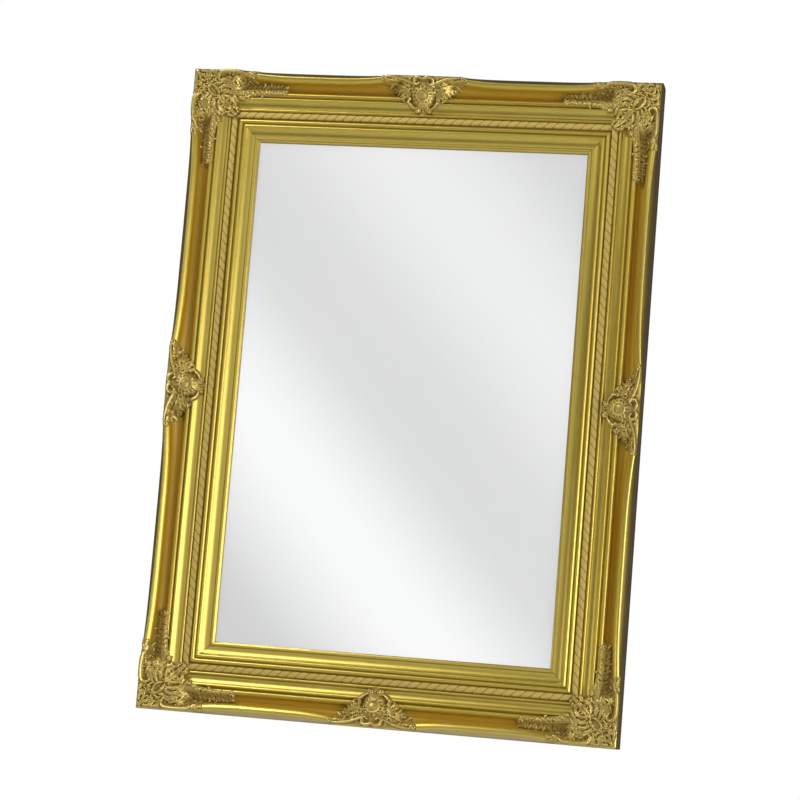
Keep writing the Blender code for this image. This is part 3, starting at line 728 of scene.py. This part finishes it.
def nips(spots, count, rise, seed):
    """Small curved leaf nips strewn over round spots, the same every time."""
    chance = np.random.default_rng(seed)
    strokes = []
    for x, y, reach in spots:
        for _ in range(round(count * reach * reach / 100)):
            angle, away = chance.uniform(0, 2 * math.pi), reach * math.sqrt(chance.uniform(0, 1))
            turn, bend = chance.uniform(0, 2 * math.pi), chance.uniform(-0.9, 0.9)
            start = np.array((x + away * math.cos(angle), y + away * math.sin(angle)))
            way = np.array((math.cos(turn), math.sin(turn)))
            side = np.array((-way[1], way[0]))
            path = (start, start + way * 1.9 + side * bend * 0.7, start + way * 3.6 - side * bend * 0.4)
            high = rise * chance.uniform(0.6, 1.15)
            strokes.append(stroke(path, (0.55, 1.05, 0.5), (high * 0.6, high, high * 0.5)))
    return strokes


def corner_masses():
    """The smooth swellings under a corner's leaves."""
    arm = ((42, 27), (60, 24.5), (80, 22.5), (98, 21.5), (112, 21.5))
    arm_widths = (10.0, 8.0, 6.8, 5.6, 4.2)
    return [
        stroke(((12, 12), (20, 20), (30, 30), (42, 42)), (9.0, 14.0, 17.0, 10.0), (1.5, 1.8, 5.5, 2.0)),
        stroke(((26, 12), (48, 10), (66, 8)), (11.0, 8.5, 4.5), (0.8, 0.6)),
        stroke(((12, 26), (10, 48), (8, 66)), (11.0, 8.5, 4.5), (0.8, 0.6)),
        stroke(arm, arm_widths, (2.0, 1.0)),
        stroke([(y, x) for x, y in arm], arm_widths, (2.0, 1.0)),
    ]


def corner_strokes():
    """Leaves and scrolls of one corner, from its outer corner inwards."""
    half = [
        stroke(((66.5, 8), (61, 4.8), (52, 3.6), (42, 3.6), (34.5, 5.4), (31, 10), (34, 14.2), (38.6, 12.4)),
               (1.2, 2.6, 3.3, 3.4, 2.9, 2.4, 1.9, 1.6), (2.4, 4.2, 4.8, 4.8, 4.5, 4.2, 4.0, 4.4)),
        volute((69.0, 11.5), 3.3, 200, -1, 1.4, 3.0),
        volute((52.5, 45.0), 2.5, 60, -1, 1.5, 3.6),
        volute((59.0, 34.0), 2.8, 30, -1, 1.5, 3.4),
        volute((65.0, 31.0), 2.2, 30, -1, 1.2, 2.8),
        volute((111.5, 21.5), 3.6, -90, -1, 1.5, 3.0),
        volute((17.5, 9.0), 2.4, 0, 1, 1.3, 3.0),
    ]
    half += petals((64, 5.5), (-10, 12, 36), 15, 2.1, 3.0)
    half += petals((37, 8), (18, 38, 58), 15, 1.7, 3.6)
    half += petals((49, 7), (16, 38, 60), 13, 1.6, 3.2)
    half += petals((44, 24), (-35, -8, 14), 12, 1.8, 3.0)
    rib = ((48, 26.5), (62, 24.5), (80, 22.5), (98, 21.5), (110, 21.5))
    half += leaf_arm(rib, 13, 44, (9.2, 6.2), 2.3, 2.6)
    half += nips([(30, 12, 8), (45, 13, 8), (60, 10, 6), (50, 26, 8), (62, 24, 7)], 28, 2.4, 5)
    arm_spots = [(72, 23, 6.5), (84, 22, 6), (93, 21.5, 5.6), (102, 21.5, 5.2), (109, 21.5, 4.4)]
    half += nips(arm_spots, 44, 2.4, 8)
    half += [
        curled_leaf(((30, 20), (37, 15.5), (46, 15.5), (53, 19.5)), 2.5, 3.2),
        curled_leaf(((33, 23), (41, 20), (49, 22.5), (54, 28.5)), 2.6, 3.4),
        curled_leaf(((35, 27), (43, 26), (50, 30), (53.5, 37)), 2.5, 3.2),
        curled_leaf(((38, 32), (45, 33), (50, 38), (51, 45)), 2.6, 3.6),
        curled_leaf(((26, 15), (29, 9), (26, 4.6), (21, 4.2)), 2.3, 3.0),
        curled_leaf(((20, 14), (21, 8), (16, 4.6), (11, 5.2)), 2.2, 3.2),
        curled_leaf(((15, 15.5), (14, 10), (9, 8), (4.8, 4.8)), 2.0, 3.4),
        curled_leaf(((33, 33), (31, 25), (25, 20), (18, 19)), 1.7, 3.4),
    ]
    whole = half + swapped(half)
    middle = ((34, 34), (41, 41), (48, 48), (52.5, 52.5))
    whole.append(stroke(middle, (3.0, 4.2, 3.4, 1.6), (2.2, 3.4, 3.6, 2.0), 0.5))
    whole += nips([(14, 14, 11), (44, 44, 13), (30, 30, 7)], 30, 3.2, 11)
    whole += nips([(44, 23, 10), (23, 44, 10), (30, 11, 7), (11, 30, 7)], 30, 3.2, 17)
    return whole


def centre_masses():
    """The smooth swellings under a centre ornament's leaves."""
    return [
        stroke(((0, 5), (0, 14), (0, 25), (0, 34), (0, 41)), (11.0, 14.0, 13.5, 9.0, 5.5),
               (1.0, 3.0, 8.5, 3.5, 1.0)),
        stroke(((-8, 13), (-24, 13), (-38, 8), (-48, 4.5)), (11.0, 10.0, 6.0, 3.0), (2.0, 0.6)),
        stroke(((8, 13), (24, 13), (38, 8), (48, 4.5)), (11.0, 10.0, 6.0, 3.0), (2.0, 0.6)),
    ]


def centre_strokes():
    """Leaves and scrolls at mid length, from the outer edge inwards."""
    half = [
        stroke(((5.0, 39.5), (9.5, 38.5), (14, 36.0), (17, 31.8), (15.4, 27.5)), (1.3, 1.8, 2.2, 2.3, 1.6),
               (3.0, 3.6, 4.2, 4.4, 3.4)),
        stroke(((11, 12), (20, 8.4), (31, 5.4), (41, 3.8), (49, 3.4)), (1.6, 2.0, 1.9, 1.7, 1.2),
               (3.0, 3.6, 3.4, 3.0, 2.8)),
        stroke(((1, 6.2), (5.5, 4.2), (10.2, 6.0), (11.2, 10.6), (7.8, 12.6), (5.0, 10.6)),
               (2.1, 2.4, 2.3, 2.0, 1.6, 1.5), (3.8, 4.4, 4.2, 3.8, 3.4, 3.6)),
        volute((7.4, 41.4), 2.2, 200, -1, 1.4, 4.0),
        volute((48.4, 5.4), 3.1, 180, -1, 1.5, 3.2),
        volute((25.0, 25.5), 2.8, 60, 1, 1.3, 3.2),
        volute((35.0, 16.5), 2.5, 60, 1, 1.1, 2.8),
    ]
    half += petals((14, 19), (-20, 2, 24, 46, 68), 14.5, 1.8, 3.4)
    half += petals((24, 14), (-18, 6, 30, 54), 12, 1.7, 3.0)
    half += petals((34, 9), (-12, 12, 38), 10.5, 1.5, 2.8)
    half += nips([(14, 14, 8), (26, 14, 8), (18, 24, 8), (36, 8, 5), (44, 5.5, 3.5)], 26, 2.2, 3)
    whole = half + mirrored(half)
    whole += petals((0, 29), (58, 74, 90, 106, 122), 13.5, 1.7, 3.0)
    rays = (0, 25, 50, 75, 105, 130, 155, 180, 205, 230, 255, 285, 310, 335)
    whole += petals((0, 25), rays, 11, 1.5, 2.2, 0.5, 0.4)
    whole += [dome((0, 25), 5.2, 1.8), ring((0, 25), (7.6, 6.6), 1.2, 2.4)]
    return whole


def cast_relief(strokes, across, up):
    """How far inside the outline each point is, and its rise."""
    inside = np.full(across.shape, -1.0)
    rise = np.zeros(across.shape)
    for path, widths, heights, crease in strokes:
        reach = widths.max() + STROKE_MARGIN
        low = path.min(0) - reach
        high = path.max(0) + reach
        near = (across > low[0]) & (across < high[0]) & (up > low[1]) & (up < high[1])
        if not near.any():
            continue
        spots = np.stack([across[near], up[near]], 1)
        gaps = np.hypot(*(spots[:, None, :] - path[None, :, :]).transpose(2, 0, 1))
        shares = gaps / widths[None, :]
        crown = np.sqrt(np.clip(1 - shares ** 2, 0, 1)) * heights[None, :]
        nearest = gaps.min(1) / widths.mean()
        crown = crown.max(1) * (1 - crease * np.exp(-(nearest / CREASE_WIDTH) ** 2))
        edge = ((widths[None, :] + CAST_EDGE) - gaps).max(1)
        inside[near] = np.maximum(inside[near], edge)
        rise[near] = np.maximum(rise[near], crown)
    return inside, rise


def holes_filled(inside):
    """The outline field with its inner holes closed."""
    open_air = np.zeros(inside.shape, bool)
    open_air[0, :] = open_air[-1, :] = open_air[:, 0] = open_air[:, -1] = True
    open_air &= inside <= 0
    while True:
        grown = open_air.copy()
        grown[1:] |= open_air[:-1]
        grown[:-1] |= open_air[1:]
        grown[:, 1:] |= open_air[:, :-1]
        grown[:, :-1] |= open_air[:, 1:]
        grown &= inside <= 0
        if (grown == open_air).all():
            break
        open_air = grown
    return np.where((inside <= 0) & ~open_air, CAST_EDGE, inside)


def blurred(values, cells):
    """A box blur, run twice along each axis."""
    for axis in (0, 1, 0, 1):
        pad = [(0, 0), (0, 0)]
        pad[axis] = (cells, cells)
        stacked = np.pad(values, pad, mode="edge")
        total = np.cumsum(stacked, axis=axis)
        width = 2 * cells
        if axis == 0:
            values = (total[width:] - total[:-width]) / width
        else:
            values = (total[:, width:] - total[:, :-width]) / width
    return values


def outlined_cells(inside):
    """Grid cells inside the outline, as polygons of corner and crossing keys."""
    solid = inside > 0
    touched = solid[:-1, :-1] | solid[1:, :-1] | solid[1:, 1:] | solid[:-1, 1:]
    polygons = []
    for i, j in zip(*np.nonzero(touched)):
        i = int(i)
        j = int(j)
        ring = ((i, j), (i + 1, j), (i + 1, j + 1), (i, j + 1))
        signs = [bool(solid[spot]) for spot in ring]
        if all(signs):
            polygons.append([(spot, spot) for spot in ring])
            continue
        polygon = []
        for k in range(4):
            here = ring[k]
            ahead = ring[(k + 1) % 4]
            if signs[k]:
                polygon.append((here, here))
            if signs[k] != signs[(k + 1) % 4]:
                polygon.append((min(here, ahead), max(here, ahead)))
        if signs[0] == signs[2] and signs[1] == signs[3]:
            first = 1 if signs[0] else 2
            turned = polygon[first:] + polygon[:first]
            polygons += [turned[2:5], [turned[5], turned[0], turned[1]]]
        else:
            polygons.append(polygon)
    return polygons


def eased(values, low, high):
    """0 up to low and 1 from high, smoothly."""
    share = np.clip((values - low) / (high - low), 0.0, 1.0)
    return share * share * (3 - 2 * share)


def cast_ground(from_edge, along, near, far):
    """Height to which a casting fills the cove, down to nothing past far."""
    ramp = np.interp(from_edge / MM, GROUND_PLACES, GROUND_HEIGHTS) * MM
    return ramp * (1 - eased(along / MM, near, far))


def cast_body(masses, strokes, moulding_height, ground, low, high):
    """Vertices as across, up, height and rise, with faces, of one casting."""
    wide = np.arange(low[0], high[0] + CAST_GRID, CAST_GRID)
    tall = np.arange(low[1], high[1] + CAST_GRID, CAST_GRID)
    across, up = np.meshgrid(wide, tall, indexing="ij")
    inside, rise = cast_relief(strokes, across, up)
    mass_inside, mass = cast_relief(masses, across, up)
    inside = np.maximum(inside, mass_inside)
    inside[(across < low[0] + CAST_EDGE) | (up < low[1] + CAST_EDGE)] = -1.0
    inside = holes_filled(inside)
    base = moulding_height(across, up)
    draped = np.maximum(base + CAST_THICKNESS / 2, blurred(base, DRAPE_CELLS) + CAST_THICKNESS)
    draped = np.maximum(draped, ground(across, up))
    top = draped + rise + blurred(mass, MASS_CELLS)
    bottom = base - CAST_SINK
    # How far each point stands above its neighbours, which paints shade in the hollows and highlights on the
    # crests.
    relief = np.clip(0.5 + (top - blurred(top, RELIEF_CELLS)) / RELIEF_RANGE, 0.0, 1.0)
    vertices = []
    index_of = {}

    def vertex(key, on_top):
        if (key, on_top) not in index_of:
            first, second = key
            share = 0.0
            if first != second:
                share = inside[first] / (inside[first] - inside[second])
            grids = (across, up, top if on_top else bottom, relief)
            index_of[key, on_top] = len(vertices)
            values = [grid[first] + (grid[second] - grid[first]) * share for grid in grids]
            vertices.append(values)
        return index_of[key, on_top]

    faces = []
    edges = set()
    for polygon in outlined_cells(inside):
        faces.append([vertex(key, True) for key in polygon])
        faces.append([vertex(key, False) for key in reversed(polygon)])
        edges.update(zip(polygon, polygon[1:] + polygon[:1]))
    for here, ahead in edges:
        if (ahead, here) not in edges:
            faces.append([vertex(here, True), vertex(here, False), vertex(ahead, False), vertex(ahead, True)])
    return np.array(vertices), faces


def cast_piece(name, places, rises, faces, material, node):
    """A casting that keeps its rise, from which the gilding paints shade and highlights."""
    mesh = mesh_from(name, places, faces, sharp_degrees=70)
    store_rise(mesh, rises)
    return new_piece(name, mesh, material, "cast_gold", node)


def corner_ground(across, up):
    """The filled cove under a corner casting's two arms."""
    return cast_ground(np.minimum(across, up), np.maximum(across, up), near=50, far=70)


def centre_ground(across, up):
    """The filled cove under a centre casting."""
    return cast_ground(up, np.abs(across), near=22, far=44)


def cast_corners(material):
    """One corner casting, mirrored into the four corners."""
    low = (CAST_INSET, CAST_INSET)
    high = (CORNER_ARM + CORNER_MARGIN, CORNER_ARM + CORNER_MARGIN)
    body, faces = cast_body(corner_masses(), corner_strokes(), corner_height, corner_ground, low, high)
    back = [list(reversed(face)) for face in faces]
    for side, sideways in (("left", -1), ("right", 1)):
        for end, upright in (("top", 1), ("bottom", -1)):
            x = sideways * (HALF_WIDTH - body[:, 0])
            z = CENTRE_Z + upright * (HALF_HEIGHT - body[:, 1])
            places = np.stack([x, GLASS_Y - body[:, 2], z], 1)
            turned = faces if sideways * upright > 0 else back
            node = "corner_ornament_" + end + "_" + side
            cast_piece("carved_" + node, places, body[:, 3], turned, material, node)


def cast_centres(material):
    """A centre casting draped over the middle of each member."""
    low = (-CENTRE_HALF_LENGTH - CENTRE_MARGIN, CAST_INSET)
    high = (CENTRE_HALF_LENGTH + CENTRE_MARGIN, CENTRE_DEPTH)
    for member in MEMBERS:
        half_length = half_sight(member) + FRAME_WIDTH

        def member_height(across, up):
            return height_in_member(up, across, half_length)

        body, faces = cast_body(centre_masses(), centre_strokes(), member_height, centre_ground, low, high)
        places = [placed(member, across, FRAME_WIDTH - up, height) for across, up, height, _ in body]
        turned = [list(reversed(face)) for face in faces]
        node = "centre_ornament_" + member
        cast_piece("carved_" + node, places, body[:, 3], turned, material, node)


# Rope twist, laid out by Geometry Nodes

def rope_crown(place):
    """Height of the rope's round back at a place across it."""
    half = (ROPE_FLOOR_END - ROPE_FLOOR_START) / 2
    return ROPE_BACK * math.sqrt(max(0.0, 1 - abs(place / half) ** ROPE_FULLNESS))


def strand_mesh(pitch, slant):
    """One plump strand that crosses the rope's round back at a slant."""
    across, along = STRAND_CELLS
    half = (ROPE_FLOOR_END - ROPE_FLOOR_START) / 2 - STRAND_CLEARANCE
    lean = 1 / math.tan(slant)
    tops, lows, rises = [], [], []
    for row in range(along + 1):
        place = math.sin(math.pi * (row / along - 0.5))
        narrow = STRAND_TIP_SHARE + (1 - STRAND_TIP_SHARE) * math.sqrt(max(0.0, 1 - place ** 4))
        taper = max(0.0, 1 - place ** 6)
        for column in range(across + 1):
            side = 2 * column / across - 1
            vein = 1 - VEIN_DEPTH * math.exp(-((side - VEIN_PLACE) / VEIN_WIDTH) ** 2)
            plump = math.sqrt(max(0.0, 1 - side * side)) * taper * vein
            x = side * pitch * STRAND_HALF_SHARE * narrow + place * half * lean
            z = place * half
            back = rope_crown(z)
            tops.append((x, -back - (plump - STRAND_SET_SHARE) * STRAND_RISE, z))
            lows.append((x, -back * STRAND_FOOT_SHARE + STRAND_CLEARANCE, z))
            rises.append(plump)
    count = across + 1
    total = len(tops)
    faces = []
    for row in range(along):
        for column in range(across):
            low = row * count + column
            square = (low, low + 1, low + count + 1, low + count)
            faces.append(square)
            faces.append(tuple(total + key for key in reversed(square)))
    ahead = [(column, column + 1) for column in range(across)]
    rim = ahead + [(row * count + across, (row + 1) * count + across) for row in range(along)]
    rim += [(along * count + b, along * count + a) for a, b in reversed(ahead)]
    rim += [((row + 1) * count, row * count) for row in reversed(range(along))]
    faces += [(b, a, total + a, total + b) for a, b in rim]
    mesh = bpy.data.meshes.new("rope_strand")
    mesh.from_pydata(tops + lows, [], faces)
    repair = bmesh.new()
    repair.from_mesh(mesh)
    bmesh.ops.recalc_face_normals(repair, faces=repair.faces)
    repair.to_mesh(mesh)
    repair.free()
    mesh.shade_smooth()
    mesh.set_sharp_from_angle(angle=math.radians(60))
    # The strands' plumpness, kept as rise, paints shade at their edges and vein and a highlight on their
    # crests.
    store_rise(mesh, rises + [0.0] * total)
    return mesh


def rope_tree(material, strand):
    """A node tree that lays the strands in a row along X, on their bed."""
    tree = bpy.data.node_groups.new("rope_layout", "GeometryNodeTree")
    sockets = (("Geometry", "NodeSocketGeometry"), ("Count", "NodeSocketInt"),
               ("Pitch", "NodeSocketFloat"))
    for name, kind in sockets:
        tree.interface.new_socket(name, in_out="INPUT", socket_type=kind)
    tree.interface.new_socket("Geometry", in_out="OUTPUT", socket_type="NodeSocketGeometry")
    entry = tree.nodes.new("NodeGroupInput")
    leave = tree.nodes.new("NodeGroupOutput")
    line = tree.nodes.new("GeometryNodeMeshLine")
    offset = tree.nodes.new("ShaderNodeCombineXYZ")
    first = tree.nodes.new("ShaderNodeMath")
    first.operation = "MULTIPLY"
    half = tree.nodes.new("ShaderNodeMath")
    half.operation = "MULTIPLY_ADD"
    half.inputs[1].default_value = -0.5
    half.inputs[2].default_value = 0.5
    start = tree.nodes.new("ShaderNodeCombineXYZ")
    source = tree.nodes.new("GeometryNodeObjectInfo")
    source.inputs["Object"].default_value = strand
    copies = tree.nodes.new("GeometryNodeInstanceOnPoints")
    real = tree.nodes.new("GeometryNodeRealizeInstances")
    join = tree.nodes.new("GeometryNodeJoinGeometry")
    paint = tree.nodes.new("GeometryNodeSetMaterial")
    paint.inputs["Material"].default_value = material
    links = (
        (entry, "Count", line, "Count"),
        (entry, "Pitch", offset, "X"),
        (offset, 0, line, "Offset"),
        (entry, "Count", half, 0),
        (half, 0, first, 0),
        (entry, "Pitch", first, 1),
        (first, 0, start, "X"),
        (start, 0, line, "Start Location"),
        (line, "Mesh", copies, "Points"),
        (source, "Geometry", copies, "Instance"),
        (copies, "Instances", real, "Geometry"),
        (entry, "Geometry", join, "Geometry"),
        (real, "Geometry", join, "Geometry"),
        (join, "Geometry", paint, "Geometry"),
        (paint, "Geometry", leave, "Geometry"),
    )
    for giver, output, taker, place in links:
        tree.links.new(giver.outputs[output], taker.inputs[place])
    return tree


def input_key(tree, name):
    """Identifier of a node tree's input, which its modifier is set by."""
    return next(item.identifier for item in tree.interface.items_tree
                if item.name == name and item.in_out == "INPUT")


def rope_bed(half_run, width, rise):
    """The low rounded bar that the strands lie on, mitred at its ends."""
    rows = []
    for side in range(BED_SIDES + 1):
        place = -math.cos(math.pi * side / BED_SIDES)
        rows.append((place * width / 2, math.sqrt(1 - abs(place) ** ROPE_FULLNESS) * rise))
    vertices = []
    for place, lift in rows:
        reach = half_run + width / 2 + place
        vertices += [(-reach, -lift, place), (reach, -lift, place)]
    count = len(rows)
    faces = [(2 * k, 2 * k + 1, 2 * k + 3, 2 * k + 2) for k in range(count - 1)]
    faces.append((2 * count - 2, 2 * count - 1, 1, 0))
    faces.append(tuple(2 * k for k in range(count)))
    faces.append(tuple(2 * k + 1 for k in reversed(range(count))))
    mesh = mesh_from("rope_bed", vertices, faces, sharp_degrees=60)
    # The bed's low rise paints it in the shade colour.
    store_rise(mesh, [BED_SHADE_TONE * lift / rise for _, lift in rows for _ in range(2)])
    return mesh


def rope_twists(material):
    """A twisted rope in the floor of each member."""
    width = ROPE_FLOOR_END - ROPE_FLOOR_START - BED_CLEARANCE
    slant = math.radians(STRAND_SLANT_DEGREES)
    strand = placed_object("rope_strand", strand_mesh(ROPE_PITCH, slant))
    tree = rope_tree(material, strand)
    middle = (ROPE_FLOOR_START + ROPE_FLOOR_END) / 2
    turns = {"top": 0.0, "bottom": math.pi, "left": -math.pi / 2, "right": math.pi / 2}
    for member in MEMBERS:
        half_run = half_sight(member) + ROPE_FLOOR_START
        count = int(2 * half_run / ROPE_PITCH)
        pitch = 2 * half_run / count
        holder = placed_object("rope_holder", rope_bed(half_run, width, ROPE_BACK))
        layout = holder.modifiers.new("layout", "NODES")
        layout.node_group = tree
        layout[input_key(tree, "Count")] = count
        layout[input_key(tree, "Pitch")] = pitch
        graph = bpy.context.evaluated_depsgraph_get()
        mesh = bpy.data.meshes.new_from_object(holder.evaluated_get(graph))
        bpy.data.objects.remove(holder)
        centre = placed(member, 0.0, middle, ROPE_FLOOR_HEIGHT)
        turn = Euler((0.0, turns[member], 0.0)).to_matrix().to_4x4()
        mesh.transform(Matrix.Translation(Vector(centre)) @ turn)
        mesh.name = "twisted_rope_" + member
        new_piece(mesh.name, mesh, material, "cast_gold", "rope_twist_" + member)
    bpy.data.objects.remove(strand)


# Plain pieces that keep their CAD solids

def paint_nodes(material, *names):
    """Gives the shown CAD nodes their finish."""
    for name in names:
        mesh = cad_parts[name].data
        if not mesh.materials:
            mesh.materials.append(material)
        for place in range(len(mesh.materials)):
            mesh.materials[place] = material


# Studio

def add_camera():
    """The camera from which the photograph was taken."""
    data = bpy.data.cameras.new("camera")
    data.sensor_width = SENSOR
    data.lens = CAMERA_LENS_PIXELS / PHOTO_PIXELS * SENSOR
    camera = placed_object("camera", data)
    right = Vector(CAMERA_RIGHT).normalized()
    up = Vector(CAMERA_UP)
    up = (up - right * up.dot(right)).normalized()
    back = right.cross(up)
    turn = Matrix((right, up, back)).transposed().to_4x4()
    place = Vector(CAMERA_PLACE) + Vector((0.0, GLASS_Y, CENTRE_Z))
    camera.matrix_world = Matrix.Translation(place) @ turn
    bpy.context.scene.camera = camera


def add_area(name, place, target, size, energy):
    """A soft light that faces its target."""
    data = bpy.data.lights.new(name, "AREA")
    data.shape = "RECTANGLE"
    data.size, data.size_y = size
    data.energy = energy
    light = placed_object(name, data)
    light.location = place
    aim = target - place
    light.rotation_mode = "QUATERNION"
    light.rotation_quaternion = aim.to_track_quat("-Z", "Y")


def add_world():
    """White to the camera, and a soft studio with a dimmer side elsewhere."""
    world = bpy.data.worlds.new("studio")
    world.use_nodes = True
    bpy.context.scene.world = world
    tree = world.node_tree
    tree.nodes.clear()
    place = tree.nodes.new("ShaderNodeTexCoord")
    parts = tree.nodes.new("ShaderNodeSeparateXYZ")
    tree.links.new(place.outputs["Generated"], parts.inputs[0])
    x, y, z = (Term(tree, parts.outputs[k]) for k in range(3))
    ahead = (0 - y).most(0.2)
    slant = SLANT_AHEAD - z / ahead * SLANT_UPWARDS - x / ahead * SLANT_RIGHTWARDS
    near_band = peak(slant, -0.30, 0.40) * 0.17
    far_band = peak(slant, 0.52, 0.36) * 0.30
    far_dimming = slant.ramp(0.74, 0.95) * 0.09
    near_dimming = (0 - slant).ramp(0.45, 0.70) * 0.05
    glow = FRONT_GLOW + near_band + far_band - far_dimming - near_dimming
    front = (0 - y).ramp(0.75, 0.97) * z.ramp(-0.26, -0.12)
    level = SIDE_GLOW + front * (glow - SIDE_GLOW)
    lit = tree.nodes.new("ShaderNodeBackground")
    tree.links.new(level.socket, lit.inputs["Strength"])
    plain = tree.nodes.new("ShaderNodeBackground")
    plain.inputs["Strength"].default_value = 1.0
    for light in (lit, plain):
        light.inputs["Color"].default_value = (1.0, 1.0, 1.0, 1.0)
    path = tree.nodes.new("ShaderNodeLightPath")
    mixer = tree.nodes.new("ShaderNodeMixShader")
    result = tree.nodes.new("ShaderNodeOutputWorld")
    tree.links.new(path.outputs["Is Camera Ray"], mixer.inputs[0])
    tree.links.new(lit.outputs[0], mixer.inputs[1])
    tree.links.new(plain.outputs[0], mixer.inputs[2])
    tree.links.new(mixer.outputs[0], result.inputs[0])


def add_floor():
    """A wide pale floor a little below the hanging mirror."""
    height = STILE_LOW[2] - FLOOR_DROP
    reach = FLOOR_REACH
    mesh = mesh_from("floor", [(-reach, -reach, height), (reach, -reach, height),
                               (reach, reach, height), (-reach, reach, height)], [(0, 1, 2, 3)])
    pale = Finish("pale_floor", Roughness=0.8, Emission_Strength=0.2)
    cloud = pale.noise(pale.object_place(), 1.3, 2.0)
    tone = pale.mix(cloud, FLOOR_GREY, FLOOR_PALE)
    pale.feed("Base Color", tone)
    pale.feed("Emission Color", tone)
    mesh.materials.append(pale.material)
    floor = placed_object("floor", mesh)


def build():
    """The studio, then the mirror piece by piece."""
    add_camera()
    add_world()
    add_floor()
    centre = Vector((0.0, GLASS_Y, CENTRE_Z))
    for name, place, size, energy in LIGHTS:
        add_area(name, centre + Vector(place), centre, size, energy)
    leaf = gold_leaf()
    cast = cast_leaf()
    for member in MEMBERS:
        carved_member(member, leaf)
    rope_twists(rope_gilding())
    cast_corners(cast)
    cast_centres(cast)
    paint_nodes(silvered_glass(), "mirror_glass")
    paint_nodes(fibreboard(), "backboard")
    paint_nodes(zinc_plate(), "sawtooth_hanger", "hanger_screw_left", "hanger_screw_right")
    bpy.context.scene.view_settings.view_transform = "Standard"


build()
